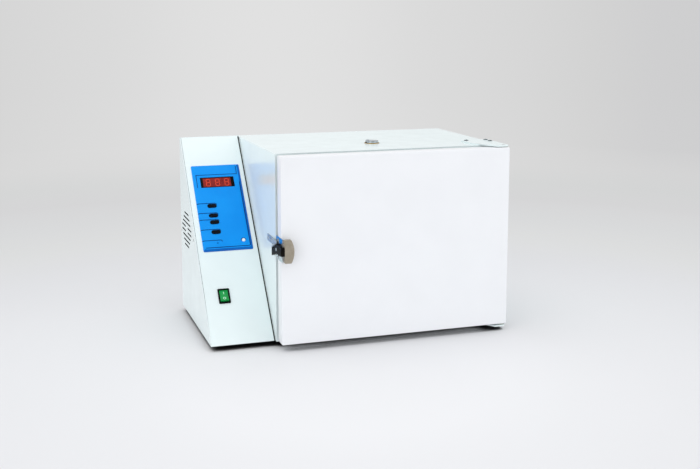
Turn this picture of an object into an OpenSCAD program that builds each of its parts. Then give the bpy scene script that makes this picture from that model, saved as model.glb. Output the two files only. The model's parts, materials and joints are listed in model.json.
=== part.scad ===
/* [Casing] */
// Width of the main cabinet
cab_w = 517; // [470:1:600]
// Depth of the casing, from its front plane to its back
body_d = 354; // [340:1:420]
// Height of the casing, without its feet
body_h = 400; // [380:1:460]
// Thickness of the painted sheet
sheet_t = 1.5; // [1:0.1:2]
// Outer radius of the folded edges
fold_r = 3; // [2:0.5:5]
// Height of a foot
foot_h = 12; // [10:0.5:20]
// Radius of a foot
foot_r = 14; // [10:0.5:20]
// From the casing's side to a foot's axis
foot_side_in = 42; // [30:1:60]

/* [Control box] */
// Width of the control box beside the cabinet
ctl_w = 138; // [128:1:170]
// From the front plane back to the foot of the slanted cover
ctl_toe = 9; // [4:1:20]
// Depth of the level strip at the top of the slanted cover
ctl_top_d = 10; // [6:1:20]

/* [Side vents] */
// From the casing's back to the middle of the slots
vent_back = 76; // [68:1:90]
// From the casing's underside to the middle of the slots
vent_z = 196; // [185:1:205]
// Number of rows of slots
vent_rows = 8; // [4:2:10]
// Distance between two rows
vent_pitch = 10.6; // [9:0.2:11]
// Height of a slot
slot_h = 3.8; // [2.5:0.1:5]
// Half length of a slot in the middle of the pattern
vent_half = 64; // [45:1:66]
// Width of the closed strip that parts the two middle rows
vent_island = 24; // [16:1:30]

/* [Chamber] */
// From the cabinet's side to the inside of the chamber
wall_side = 49; // [40:1:60]
// From the casing's top to the chamber's ceiling
wall_top = 50; // [40:1:60]
// From the casing's underside to the chamber's floor
wall_bottom = 50; // [40:1:60]
// From the casing's back to the chamber's back wall
wall_back = 45; // [35:1:50]
// Thickness of the stainless sheet
liner_t = 1; // [0.8:0.1:1.5]
// Width of the liner's front flange
liner_flange = 14; // [10:1:18]
// Width of the air duct behind the baffle
duct_w = 38; // [34:1:50]
// Distance between two shelf rails
shelf_pitch = 92; // [70:1:95]
// Radius of a shelf's frame rod
shelf_rod_r = 3; // [2:0.5:4]
// Radius of a shelf's thin wires
shelf_wire_r = 1.5; // [1:0.25:2]
// Distance between two of a shelf's wires
shelf_wire_pitch = 21; // [14:1:30]
// Reach of a shelf rail's ledge
rail_reach = 10; // [8:1:14]

/* [Air circulation] */
// From the chamber's back wall to the fan's axis
fan_back = 59; // [57:1:68]
// From the casing's underside to the fan's axis
fan_z = 168; // [160:1:172]
// Radius of the impeller
fan_r = 52; // [40:1:54]
// Number of impeller blades
fan_blades = 10; // [6:1:14]
// Radius of the fan's shaft
shaft_r = 4; // [3:0.25:5]
// Width of the motor's square stack
motor_w = 60; // [54:1:64]
// Thickness of the motor's stack
stack_t = 20; // [16:1:24]
// Gap between the cabinet's side and the motor's inner end plate
motor_stand = 14; // [10:1:18]
// Radius of a tubular heater
heater_r = 4; // [3:0.25:5]
// Distance between a heater's two runs
heater_pitch = 22; // [18:1:26]

/* [Door] */
// Thickness of the door
door_t = 28; // [24:1:36]
// Gap between the door and the casing's front plane
door_gap = 14; // [12:0.5:18]
// From the cabinet's side to the door's edge
door_side_in = 1; // [0.5:0.5:4]
// From the casing's underside up to the door's lower edge
door_low_in = 4; // [3:0.5:6]
// From the casing's top down to the door's upper edge
door_top_in = 1.6; // [1.2:0.2:3]
// Thickness of the door's outer sheet
skin_t = 1.2; // [1:0.1:1.5]
// Corner radius of the door
door_r = 3; // [2:0.5:6]
// Width of the gasket
gasket_w = 12; // [8:1:14]
// Height of the pressed middle of the door's inner sheet
boss_h = 10; // [6:1:11]

/* [Hinges] */
// Width of a hinge plate
plate_w = 65; // [58:1:80]
// Thickness of a hinge plate
plate_t = 3; // [2.5:0.5:5]
// From the front plane back to the plate's rear edge
plate_back = 78; // [66:1:84]
// From the hinge axis to the plate's front and side edges
plate_rim = 10; // [9:0.5:13]
// Radius of a hinge pin
pin_r = 4; // [3:0.25:5]
// Depth of a hinge pin in the door
pin_in = 12; // [8:1:16]

/* [Latch] */
// From the casing's underside to the latch's axis
latch_z = 206.5; // [180:1:220]
// Height of the grip
grip_h = 48; // [40:1:60]
// Width of the grip
grip_w = 21; // [16:1:26]
// Thickness of the grip
grip_t = 12; // [9:0.5:13]
// From the door's front to the grip's front
grip_reach = 23; // [22:0.5:28]
// Height of the latch's base plate
latch_plate_h = 49; // [44:1:56]
// Thickness of the steel lever
lever_t = 5; // [4:0.25:6]
// Height of the steel lever at its axis
lever_h = 20; // [16:1:22]
// Angle from the rest position to the hooked position
hook_angle = 6; // [5:0.5:7]

/* [Keypad] */
// From the control box's left side to the keypad
pad_x = 14.4; // [13:0.2:18]
// From the foot of the slanted cover to the keypad, along the slope
pad_s = 220.5; // [215:0.5:225]
// Width of the keypad
pad_w = 111.2; // [104:0.2:112]
// Length of the keypad along the slope
pad_h = 222; // [218:1:226]
// Thickness of the keypad
pad_t = 2.6; // [2:0.1:3.5]
// Width of the keypad's sloping rim
pad_rim = 5.5; // [4:0.5:6]
// Width of the display window
window_w = 77; // [70:1:80]
// Height of the display window
window_h = 26.6; // [24:0.2:30]
// From the keypad's top edge to the window
window_drop = 33; // [31:1:38]
// Length of a key
key_l = 20.5; // [18:0.5:24]
// Width of a key
key_w = 9.4; // [8:0.2:10]
// Travel of a key
key_travel = 1; // [0.6:0.1:1.2]
// Radius of the keypad's lamp
lamp_r = 4; // [3:0.25:5]
// Radius of a key's stem
stem_r = 1.7; // [1.4:0.1:2]

/* [Power switch] */
// From the control box's left side to the switch's middle
rocker_x = 43.7; // [34:0.2:50]
// From the foot of the slanted cover to the switch's middle, along the slope
rocker_s = 112.3; // [90:0.5:130]
// Width of the switch's frame
bezel_w = 25.2; // [24:0.2:28]
// Length of the switch's frame
bezel_h = 34.4; // [32:0.2:38]
// Angle of each half of the rocker
rocker_tilt = 8; // [6:0.5:9]

/* [Vent cap] */
// From the cabinet's left side to the vent
chimney_x = 252; // [220:1:300]
// From the front plane to the vent
chimney_y = 113; // [100:1:170]
// Outer radius of the vent tube
tube_r = 12; // [10:0.5:14]
// Radius of the vent's collar
collar_r = 16.5; // [16:0.5:20]
// Height of the vent's collar
collar_h = 1.5; // [1.5:0.5:4]
// Height of the turning cap
cap_h = 4.2; // [4:0.1:8]

/* [Rear fittings] */
// From the control box's left side to the mains inlet
inlet_x = 45; // [36:1:60]
// From the casing's underside to the mains inlet
inlet_z = 62; // [50:1:80]
// How far the fuse caps stand out behind the casing
rear_reach = 12; // [10:1:16]

/* [Clearances] */
// Clearance around a fixed piece
fit_gap = 0.3; // [0.2:0.05:0.4]
// Radial clearance of a running fit
run_gap = 0.05; // [0.03:0.01:0.08]

/* [Hidden] */
$fn = 48;

paint = "#e6f1f1";
door_paint = "#f1f2f6";
steel = "#c9ccce";
stainless = "#b9bdc0";
wool = "#d9d2b4";
pad_blue = "#1496f0";
dark = "#23252a";
taupe = "#9b9385";
rubber = "#2b2c2e";

// Casing planes
x_left = -(ctl_w + cab_w) / 2;
x_cab = x_left + ctl_w;
x_right = x_cab + cab_w;
y_front = (door_gap + door_t + grip_reach - body_d - rear_reach) / 2;
y_back = y_front + body_d;
z_low = foot_h;
z_top = foot_h + body_h;

// Slanted cover: its angle from the vertical
slope_run = body_d - ctl_top_d - ctl_toe;
slope_a = atan(slope_run / body_h);
cover_back = sheet_t / cos(slope_a);

vent_mid = y_back - vent_back;

// Chamber planes
ch_x0 = x_cab + wall_side;
ch_x1 = x_right - wall_side;
ch_y1 = y_back - wall_back;
ch_z0 = z_low + wall_bottom;
ch_z1 = z_top - wall_top;
ch_h = ch_z1 - ch_z0;
frame_y = y_front + sheet_t;
slab_y = frame_y + liner_t;
inner_back = y_back - sheet_t;
baffle_x = ch_x0 + duct_w;
shelf_edge_gap = 2;
shelf_x0 = baffle_x + liner_t + shelf_edge_gap;
shelf_x1 = ch_x1 - shelf_edge_gap;
shelf_y0 = y_front + 14;
shelf_y1 = ch_y1 - 4;
rail_z = [for (i = [1:2]) ch_z0 + i * shelf_pitch];
rail_leg = 14;
rail_y0 = y_front + 10;
rail_y1 = ch_y1 - 3;

// Fan and motor
ax_y = ch_y1 - fan_back;
ax_z = z_low + fan_z;
motor_x1 = x_cab - motor_stand;
plate_gap = 8;
end_plate_t = 4;
stack_x1 = motor_x1 - end_plate_t - plate_gap;
stack_x0 = stack_x1 - stack_t;
motor_x0 = stack_x0 - plate_gap - end_plate_t;
rotor_r = 15;
air_gap = 0.5;
motor_bolt = motor_w / 2 - 6;
bolt_r = 2;
hub_gap = 5;
impeller_gap = 5;
hub_wall = 4;
impeller_x0 = ch_x0 + impeller_gap;
impeller_x1 = baffle_x - impeller_gap - 1;
shaft_hole_r = shaft_r + 2;
cool_r = 24;
cool_t = 8;
shaft_x0 = motor_x0 - hub_gap - cool_t;

// Heaters: height of each lower run, end of the bend and place of the legs
heater_z = [ch_z0 + 22, ax_z + fan_r + 18];
heater_x = ch_x0 + 16;
heater_bend = 14;
heater_y0 = y_front + 40;
heater_leg_y = ch_y1 - 20;
heater_tail = 26;
bushing_r = heater_r + 4;
bushing_t = 6;
probe_r = 2.5;
probe_y = ch_y1 - 20;
probe_z = ax_z + fan_r - 3;
probe_reach = 18;
probe_head = 20;

// Feet: the front ones stand behind the lower hinge plate
foot_y_in = plate_back + 6 + foot_r;
foot_sink = 3;

// Door planes
d_x0 = x_cab + door_side_in;
d_x1 = x_right - door_side_in;
d_yb = y_front - door_gap;
d_yf = d_yb - door_t;
d_z0 = z_low + door_low_in;
d_z1 = z_top - door_top_in;
d_w = d_x1 - d_x0;
d_h = d_z1 - d_z0;
gasket_in = 4;
boss_in = 6;

// Hinge axis
hinge_x = x_right - plate_rim;
hinge_y = d_yb - door_t / 2;
bush_wall = 3;
flange_rim = 5;
bush_r = pin_r + bush_wall;
flange_r = pin_r + flange_rim;
bush_gap = 0.4;
plate_x0 = x_right - plate_w;
plate_y1 = y_front + plate_back;
plate_y0 = hinge_y - plate_rim;
// One screw at the left and two at the right of a hinge plate
plate_screws = [[plate_x0 + 9, plate_y1 - 12], [x_right - 8, plate_y1 - 12], [x_right - 8, plate_y1 - 34]];
// Width of a hinge plate's nose over the door, and length of the corner cut off beside it
plate_nose = 27.5;
plate_cut = 53;
screw_r = 2.5;
head_r = 5.5;
head_h = 2.5;
screw_in = 8;
plate_r = 5;

// Latch: everything is placed from its axis
la_y = d_yf + 11;
la_z = z_low + latch_z;
latch_plate_t = 1.5;
la_x1 = d_x0 - latch_plate_t;
lever_x1 = la_x1 - fit_gap;
lever_x0 = lever_x1 - lever_t;
latch_pin_r = 2.5;
latch_head_t = 1.5;
latch_plate_y0 = d_yf - 13;
notch_h = 31;
notch_d = 5.5;
latch_plate_y1 = d_yb + 8;
backing_t = 3;
spring_r = 5.4;
spring_t = 2.4;
grip_x0 = d_x0 + 0.5;
grip_x1 = grip_x0 + grip_w;
grip_y0 = d_yf - grip_reach;
neck_h = 18;
neck_rear = grip_y0 + 9;
keeper_t = 2;
keeper_leaf_t = 1.5;
striker_u0 = 13;
striker_u1 = 37;
striker_v0 = 7;
striker_v1 = -2;
striker_top = 14;
striker_pocket = 3.6;
keeper_u1 = 47;
keeper_len = 50;
nose_u0 = striker_u1 + 1;
nose_u1 = nose_u0 + 6;
nose_gap = 0.4;
arm_gap = 0.6;
arm_drop = 22;
core_u = 8;

// Keypad and board, as distances out of the slanted cover
pad_corner = 3;
frame_in = 8;
key_x = 34;
key_gap_wide = 25;
key_gap_narrow = 17;
key_first = 114;
key_s = [key_first, key_first - key_gap_wide, key_first - key_gap_wide - key_gap_narrow,
  key_first - 2 * key_gap_wide - key_gap_narrow];
key_proud = 1.6;
key_flange = 1.2;
key_flange_t = 1;
trace_w = 1.2;
trace_h = 0.5;
trace_sink = 0.4;
trace_rise = 6.8;
trace_drop = 4;
low_trace_s = 26.5;
header_gap = 6;
lamp_x = 92.2;
lamp_s = 22.8;
dot_s = 19.7;
dot_r = 1.6;
window_x = 16.6;
window_s = pad_h - window_drop - window_h;
window_t = 1.4;
board_n = -15;
board_t = 1.6;
post_r = 3;
switch_w = 7;
switch_h = 3.6;
stem_end = board_n + board_t + key_travel + 0.6;

// Power switch, from its own axis
housing_w = bezel_w - 3;
housing_h = bezel_h - 4;
bezel_t = 2.2;
housing_deep = 20;
rocker_w = housing_w - 4;
rocker_half = housing_h / 2 - 2.2;
rocker_n = -3;
rocker_deep = 3;
rocker_face = 4;
axle_r = 1.5;
cavity_deep = 9;
rocker_wall = 1.2;

// Vent
vent_x = x_cab + chimney_x;
vent_yy = y_front + chimney_y;
tube_t = 1;
tube_top = z_top + collar_h + cap_h - 1.7;
cap_r = collar_r - 2;
cap_window = 5;
cap_window_h = 1.4;
collar_e = 0.6;
pointer_w = 3;

// Rear fittings
inlet_w = 30;
inlet_hh = 24;
inlet_deep = 24;
socket_w = 24;
socket_h = 16;
socket_deep = 16;
pin_sink = 5;
ear_w = 50;
ear_t = 2.5;
fuse_r = 6.5;
fuse_deep = 30;
fuse_pitch = 24;
fuse_z = inlet_z + 42;
trans_w = 60;
trans_d = 36;
trans_h = 50;
trans_coil = 12;
trans_in = 10;
trans_x = x_left + 58;
trans_y = y_back - 80;
relay_x = x_left + 74;
relay_y = y_back - 180;
relay_w = 45;
relay_d = 58;
relay_h = 24;
relay_post_x = 14;
relay_post_y = 22;
relay_post_r = 3.5;
relay_post_h = 4;
case_screw_r = 2;
case_head_r = 3.6;
case_head_h = 1.6;

// A rectangle with round corners, from its lower left corner
module rrect(w, h, r) {
  translate([r, 0]) square([w - 2 * r, h]);
  translate([0, r]) square([w, h - 2 * r]);
  for (x = [r, w - r], y = [r, h - r]) translate([x, y]) circle(r);
}

// A slot with round ends, centred
module pill(len, w) {
  square([len - w, w], center = true);
  for (s = [-1, 1]) translate([s * (len - w) / 2, 0]) circle(w / 2);
}

// Draws along X: the flat shape's X becomes Y and its Y becomes Z
module along_x(x0, len) {
  translate([x0, 0, 0]) rotate([90, 0, 90]) linear_extrude(len) children();
}

// Draws along Y: the flat shape's X stays X and its Y becomes Z
module along_y(y0, len) {
  translate([0, y0 + len, 0]) rotate([90, 0, 0]) linear_extrude(len) children();
}

module box(x0, x1, y0, y1, z0, z1) {
  translate([x0, y0, z0]) cube([x1 - x0, y1 - y0, z1 - z0]);
}

module rod_x(x0, x1, y, z, r) {
  translate([x0, y, z]) rotate([0, 90, 0]) cylinder(h = x1 - x0, r = r);
}

module rod_y(x, y0, y1, z, r) {
  translate([x, y0, z]) rotate([-90, 0, 0]) cylinder(h = y1 - y0, r = r);
}

module rod_z(x, y, z0, z1, r) {
  translate([x, y, z0]) cylinder(h = z1 - z0, r = r);
}

// The slanted cover's own frame: X across, Y up the slope, Z out of the cover
module on_slope(x = 0, s = 0, n = 0) {
  translate([x_left, y_front + ctl_toe, z_low]) rotate([90 - slope_a, 0, 0])
    translate([x, s, n]) children();
}

module on_pad(x = 0, s = 0, n = 0) {
  on_slope(pad_x + x, pad_s + s, n) children();
}

// A domed screw head with its shank, pointing down from the head's seat
module screw(r, len, hr, hh) {
  translate([0, 0, -len]) cylinder(h = len + hh / 2, r = r);
  rotate_extrude() intersection() {
    square([hr, hh]);
    translate([0, hh - hr * 1.6]) circle(hr * 1.6, $fn = 96);
  }
}

module wedge_outline() {
  polygon([[y_front + ctl_toe, z_low], [y_back - ctl_top_d, z_top], [inner_back, z_top],
    [inner_back, z_low]]);
}

module wedge_inside() {
  y0 = y_front + ctl_toe + cover_back;
  polygon([[y0 - sheet_t * tan(slope_a), z_low - sheet_t],
    [y0 + (body_h - sheet_t) * tan(slope_a), z_top - sheet_t],
    [y_back, z_top - sheet_t], [y_back, z_low - sheet_t]]);
}

function vent_half_at(i) = vent_half - abs(i - (vent_rows - 1) / 2) * vent_pitch;

module vent_slots() {
  for (i = [0:vent_rows - 1]) {
    h = vent_half_at(i);
    dz = (i - (vent_rows - 1) / 2) * vent_pitch;
    part = abs(dz) < vent_pitch;
    len = part ? h - vent_island / 2 : 2 * h;
    for (m = part ? [-1, 1] : [0])
      translate([vent_mid + m * (h + vent_island / 2) / 2, z_low + vent_z + dz])
        pill(len, slot_h);
  }
}

side_screws = [[vent_mid - 84, z_low + vent_z - 8], [y_back - 9, z_low + vent_z - 13]];

module control_side_panel() color(paint) {
  along_x(x_left, sheet_t) difference() {
    wedge_outline();
    vent_slots();
    for (p = side_screws) translate(p) circle(case_screw_r + run_gap);
  }
}

module control_cover() color(paint) difference() {
  along_x(x_left + sheet_t, ctl_w - sheet_t) difference() {
    wedge_outline();
    wedge_inside();
  }
  on_pad(frame_in, frame_in, -2 * sheet_t)
    linear_extrude(4 * sheet_t) rrect(pad_w - 2 * frame_in, pad_h - 2 * frame_in, pad_corner);
  on_slope(rocker_x - housing_w / 2 - fit_gap, rocker_s - housing_h / 2 - fit_gap, -2 * sheet_t)
    cube([housing_w + 2 * fit_gap, housing_h + 2 * fit_gap, 4 * sheet_t]);
}

module control_floor() color(paint) difference() {
  y0 = y_front + ctl_toe + cover_back + sheet_t * tan(slope_a) + fit_gap;
  box(x_left + sheet_t, x_cab, y0, inner_back, z_low, z_low + sheet_t);
  foot_holes();
}

foot_places = [for (x = [x_left + foot_side_in, x_right - foot_side_in],
  y = [y_front + foot_y_in, y_back - foot_y_in]) [x, y]];

module foot_holes() {
  for (p = foot_places) rod_z(p[0], p[1], z_low - 1, z_low + sheet_t + 1, case_screw_r + run_gap);
}

module feet() color(rubber) for (p = foot_places) translate([p[0], p[1], 0]) {
  difference() {
    rotate_extrude() {
      square([foot_r - 1.5, foot_h]);
      translate([0, 1.5]) square([foot_r, foot_h - 1.5]);
      translate([foot_r - 1.5, 1.5]) circle(1.5);
    }
    translate([0, 0, foot_sink]) cylinder(h = foot_h, r = case_screw_r + run_gap);
  }
  translate([0, 0, foot_sink + run_gap])
    cylinder(h = foot_h + sheet_t - foot_sink - 2 * run_gap, r = case_screw_r);
}

module cabinet_shell() color(paint) difference() {
  along_y(y_front, body_d - sheet_t) difference() {
    translate([x_cab, z_low - fold_r]) rrect(cab_w, body_h + fold_r, fold_r);
    translate([x_cab + sheet_t, z_low - 2 * fold_r])
      rrect(cab_w - 2 * sheet_t, body_h + 2 * fold_r - sheet_t, fold_r - sheet_t / 2);
    translate([x_cab - 1, z_low - 2 * fold_r]) square([cab_w + 2, 2 * fold_r]);
  }
  rod_z(vent_x, vent_yy, z_top - 2 * sheet_t, z_top + 1, tube_r + run_gap);
  for (p = plate_screws) rod_z(p[0], p[1], z_top - 2 * sheet_t, z_top + 1, screw_r + run_gap);
  wall_feedthroughs(x_cab - 1, x_cab + 2 * sheet_t);
  for (y = keeper_screw_y) rod_x(x_cab - 1, x_cab + 2 * sheet_t, y, keeper_screw_z,
    case_screw_r + run_gap);
}

// Holes through the cabinet's left wall for the shaft, the heaters and the probe
module wall_feedthroughs(x0, x1) {
  rod_x(x0, x1, ax_y, ax_z, shaft_hole_r);
  for (z = heater_z, k = [0, 1])
    rod_x(x0, x1, heater_leg_y, z + k * heater_pitch, heater_r + run_gap);
  rod_x(x0, x1, probe_y, probe_z, probe_r + run_gap);
}

module front_frame() color(paint) along_y(y_front, sheet_t) difference() {
  translate([x_cab + sheet_t, z_low - fold_r])
    rrect(cab_w - 2 * sheet_t, body_h + fold_r - sheet_t, fold_r - sheet_t / 2);
  translate([x_cab, z_low - fold_r]) square([cab_w, fold_r]);
  translate([ch_x0, ch_z0]) square([ch_x1 - ch_x0, ch_h]);
}

module base_pan() color(paint) difference() {
  box(x_cab + sheet_t, x_right - sheet_t, frame_y, inner_back, z_low, z_low + sheet_t);
  foot_holes();
  for (p = plate_screws) rod_z(p[0], p[1], z_low - 1, z_low + 2 * sheet_t, screw_r + run_gap);
}

back_screws = concat(
  [for (x = [x_left + 8, x_cab + 9, (x_cab + x_right) / 2, x_right - 9], z = [z_low + 9, z_top - 9])
    [x, z]],
  [[x_left + 8, z_low + body_h / 2], [x_right - 9, z_low + body_h / 2]]);

module back_panel() color(paint) {
  along_y(inner_back, sheet_t) difference() {
    translate([x_left, z_low]) square([ctl_w + cab_w, body_h]);
    for (i = [0:7]) translate([x_left + ctl_w / 2, z_top - 80 - i * vent_pitch])
      pill(ctl_w / 2, slot_h);
    translate([x_left + inlet_x - inlet_w / 2 - fit_gap, z_low + inlet_z - inlet_hh / 2 - fit_gap])
      square([inlet_w + 2 * fit_gap, inlet_hh + 2 * fit_gap]);
    for (k = [-1, 1]) translate([x_left + inlet_x + k * fuse_pitch / 2, z_low + fuse_z])
      circle(fuse_r - 1 + run_gap);
  }
  for (p = back_screws) translate([p[0], y_back, p[1]]) rotate([-90, 0, 0])
    screw(case_screw_r, sheet_t / 2, case_head_r, case_head_h);
}

module chamber_liner() color(stainless) difference() {
  union() {
    box(ch_x0 - liner_t, ch_x1 + liner_t, frame_y, ch_y1 + liner_t, ch_z0 - liner_t, ch_z1 + liner_t);
    box(ch_x0 - liner_flange, ch_x1 + liner_flange, frame_y, slab_y, ch_z0 - liner_flange,
      ch_z1 + liner_flange);
  }
  box(ch_x0, ch_x1, y_front - 1, ch_y1, ch_z0, ch_z1);
  wall_feedthroughs(ch_x0 - 2 * liner_t, ch_x0 + 1);
  rod_z(vent_x, vent_yy, ch_z1 - 1, ch_z1 + 2 * liner_t, tube_r + run_gap);
}

slab_x0 = x_cab + sheet_t;
slab_x1 = x_right - sheet_t;
slab_z0 = z_low + sheet_t;
slab_z1 = z_top - sheet_t;

module insulation_top() color(wool) difference() {
  box(slab_x0, slab_x1, slab_y, inner_back, ch_z1 + liner_t, slab_z1);
  corner_relief();
  rod_z(vent_x, vent_yy, ch_z1, z_top, tube_r + fit_gap);
  for (p = plate_screws)
    rod_z(p[0], p[1], slab_z1 - screw_in - 1, z_top, screw_r + fit_gap);
}

// Keeps the slab clear of the inside of the shell's folds
module corner_relief() {
  for (x = [slab_x0, slab_x1])
    translate([x, y_front, slab_z1]) rotate([0, 45, 0])
      translate([-fold_r, 0, -fold_r]) cube([2 * fold_r, body_d, 2 * fold_r]);
}

module insulation_bottom() color(wool) difference() {
  box(slab_x0, slab_x1, slab_y, inner_back, slab_z0, ch_z0 - liner_t);
  for (p = plate_screws)
    rod_z(p[0], p[1], z_low, slab_z0 + screw_in + 1, screw_r + fit_gap);
  for (p = foot_places) rod_z(p[0], p[1], z_low, slab_z0 + 2, case_screw_r + fit_gap);
}

module insulation_left() color(wool) difference() {
  box(slab_x0, ch_x0 - liner_t, slab_y, inner_back, ch_z0 - liner_t, ch_z1 + liner_t);
  rod_x(x_cab, ch_x0, ax_y, ax_z, shaft_hole_r + 1);
  for (z = heater_z, k = [0, 1])
    rod_x(x_cab, ch_x0, heater_leg_y, z + k * heater_pitch, heater_r + fit_gap);
  rod_x(x_cab, ch_x0, probe_y, probe_z, probe_r + fit_gap);
  for (y = keeper_screw_y)
    rod_x(x_cab, slab_x0 + 6, y, keeper_screw_z, case_screw_r + fit_gap);
}

module insulation_right() color(wool)
  box(ch_x1 + liner_t, slab_x1, slab_y, inner_back, ch_z0 - liner_t, ch_z1 + liner_t);

module insulation_back() color(wool)
  box(ch_x0 - liner_t, ch_x1 + liner_t, ch_y1 + liner_t, inner_back, ch_z0 - liner_t,
    ch_z1 + liner_t);

baffle_hole_r = 3;
baffle_pitch = 14;

module air_baffle() color(stainless) difference() {
  union() {
    box(baffle_x, baffle_x + liner_t, rail_y0 - 4, ch_y1 - fit_gap, ch_z0 + fit_gap, ch_z1 - fit_gap);
    box(ch_x0 + fit_gap, baffle_x, rail_y0 - 4, rail_y0 - 4 + liner_t, ch_z0 + fit_gap,
      ch_z1 - fit_gap);
  }
  for (ring = [1:2], k = [0:6 * ring - 1])
    rod_x(baffle_x - 1, baffle_x + 2 * liner_t,
      ax_y + ring * baffle_pitch * cos(k * 60 / ring),
      ax_z + ring * baffle_pitch * sin(k * 60 / ring), baffle_hole_r);
  rod_x(baffle_x - 1, baffle_x + 2 * liner_t, ax_y, ax_z, baffle_hole_r);
  for (j = [0:9], z = [ch_z0 + 14, ch_z1 - 14])
    rod_x(baffle_x - 1, baffle_x + 2 * liner_t, rail_y0 + 16 + j * 2 * baffle_pitch, z,
      baffle_hole_r);
  rod_x(baffle_x - 1, baffle_x + 2 * liner_t, probe_y, probe_z, probe_r + run_gap);
}

// One hairpin: two level runs joined by a half ring, with legs that turn out through the wall
module hairpin(z) {
  bend_y = heater_leg_y - heater_bend;
  for (k = [0, 1]) translate([0, 0, z + k * heater_pitch]) {
    rod_y(heater_x, heater_y0, bend_y, 0, heater_r);
    translate([heater_x - heater_bend, bend_y, 0])
      rotate_extrude(angle = 90) translate([heater_bend, 0]) circle(heater_r);
    rod_x(x_cab - heater_tail, heater_x - heater_bend, heater_leg_y, 0, heater_r);
  }
  translate([heater_x, heater_y0, z + heater_pitch / 2]) rotate([0, -90, 0]) rotate([180, 0, 0])
    rotate_extrude(angle = 180) translate([heater_pitch / 2, 0]) circle(heater_r);
}

module heaters() color("#6f6a66") for (z = heater_z) hairpin(z);

module heater_bushings() color("#efe9dd") for (z = heater_z, k = [0, 1]) difference() {
  rod_x(x_cab - bushing_t, x_cab, heater_leg_y, z + k * heater_pitch, bushing_r);
  rod_x(x_cab - 2 * bushing_t, x_cab + 1, heater_leg_y, z + k * heater_pitch, heater_r + run_gap);
}

module rail(x_wall, dir) {
  for (z = rail_z) {
    box(min(x_wall, x_wall + dir * liner_t), max(x_wall, x_wall + dir * liner_t), rail_y0, rail_y1,
      z - rail_leg, z);
    box(min(x_wall, x_wall + dir * rail_reach), max(x_wall, x_wall + dir * rail_reach), rail_y0,
      rail_y1, z - liner_t, z);
  }
}

module shelf_rails_left() color(stainless) rail(baffle_x + liner_t, 1);
module shelf_rails_right() color(stainless) rail(ch_x1, -1);

module shelf(z) {
  zc = z + run_gap + shelf_rod_r;
  xa = shelf_x0 + shelf_rod_r;
  xb = shelf_x1 - shelf_rod_r;
  ya = shelf_y0 + shelf_rod_r;
  yb = shelf_y1 - shelf_rod_r;
  for (y = [ya, yb]) rod_x(xa, xb, y, zc, shelf_rod_r);
  for (x = [xa, xb]) rod_y(x, ya, yb, zc, shelf_rod_r);
  for (x = [xa, xb], y = [ya, yb]) translate([x, y, zc]) sphere(shelf_rod_r);
  n = floor((xb - xa) / shelf_wire_pitch);
  for (i = [1:n - 1]) rod_y(xa + i * (xb - xa) / n, ya, yb, zc, shelf_wire_r);
}

module shelf_upper() color(steel) shelf(rail_z[1]);
module shelf_lower() color(steel) shelf(rail_z[0]);

module temperature_probe() color(steel) {
  rod_x(x_cab - probe_head, baffle_x + liner_t + probe_reach, probe_y, probe_z, probe_r);
  rod_x(x_cab - probe_head, x_cab - fit_gap, probe_y, probe_z, probe_r + 3);
}

module safety_thermostat() color(dark) {
  y = y_back - 26;
  rod_x(x_cab - 12, x_cab - fit_gap, y, ax_z, 11);
  box(x_cab - 2, x_cab - fit_gap, y - 4, y + 4, ax_z - 19, ax_z + 19);
  for (s = [-1, 1]) box(x_cab - 20, x_cab - 11, y + s * 5 - 0.4, y + s * 5 + 0.4, ax_z - 3, ax_z + 3);
}

module motor_stack() color("#8d8f92") difference() {
  box(stack_x0, stack_x1, ax_y - motor_w / 2, ax_y + motor_w / 2, ax_z - motor_w / 2,
    ax_z + motor_w / 2);
  rod_x(stack_x0 - 1, stack_x1 + 1, ax_y, ax_z, rotor_r + air_gap);
  box(stack_x0 - 1, stack_x1 + 1, ax_y - motor_w / 2 + 10, ax_y + motor_w / 2 - 10,
    ax_z - motor_w / 2 + 6, ax_z - rotor_r - 3);
  motor_bolts(run_gap);
}

module motor_bolts(extra) {
  for (a = [-1, 1], b = [-1, 1])
    rod_x(motor_x0 - 1, x_cab + 1, ax_y + a * motor_bolt, ax_z + b * motor_bolt, bolt_r + extra);
}

module motor_coil() color("#a8552c") difference() {
  z1 = ax_z - rotor_r - 3 - fit_gap;
  z0 = ax_z - motor_w / 2 + 6 + fit_gap;
  box(stack_x0 - 7, stack_x1 + 7, ax_y - 13, ax_y + 13, z0 - 5.5, z1);
  box(stack_x0 - fit_gap, stack_x1 + fit_gap, ax_y - 14, ax_y + 14, z0 - 7, z0);
}

module motor_plates() color(steel) {
  for (x = [motor_x0, motor_x1 - end_plate_t]) difference() {
    union() {
      box(x, x + end_plate_t, ax_y - 9, ax_y + 9, ax_z - 9, ax_z + 9);
      for (a = [45, -45]) translate([x, ax_y, ax_z]) rotate([a, 0, 0])
        translate([0, -motor_bolt * sqrt(2) - 4, -5])
          cube([end_plate_t, 2 * (motor_bolt * sqrt(2) + 4), 10]);
    }
    rod_x(x - 1, x + end_plate_t + 1, ax_y, ax_z, shaft_r + run_gap);
    motor_bolts(run_gap);
  }
  for (a = [-1, 1], b = [-1, 1]) {
    y = ax_y + a * motor_bolt;
    z = ax_z + b * motor_bolt;
    rod_x(motor_x0 + run_gap, x_cab - fit_gap, y, z, bolt_r);
    for (x = [[motor_x0 + end_plate_t + run_gap, stack_x0 - run_gap],
      [stack_x1 + run_gap, motor_x1 - end_plate_t - run_gap], [motor_x1 + run_gap, x_cab - fit_gap]])
      rod_x(x[0], x[1], y, z, bolt_r + 1.5);
  }
}

module fan_shaft() color(steel) rod_x(shaft_x0, impeller_x1 - 1, ax_y, ax_z, shaft_r);

module motor_rotor() color("#b5b7b9") difference() {
  rod_x(stack_x0 - 3, stack_x1 + 3, ax_y, ax_z, rotor_r);
  rod_x(stack_x0 - 4, stack_x1 + 4, ax_y, ax_z, shaft_r + run_gap);
}

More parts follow.
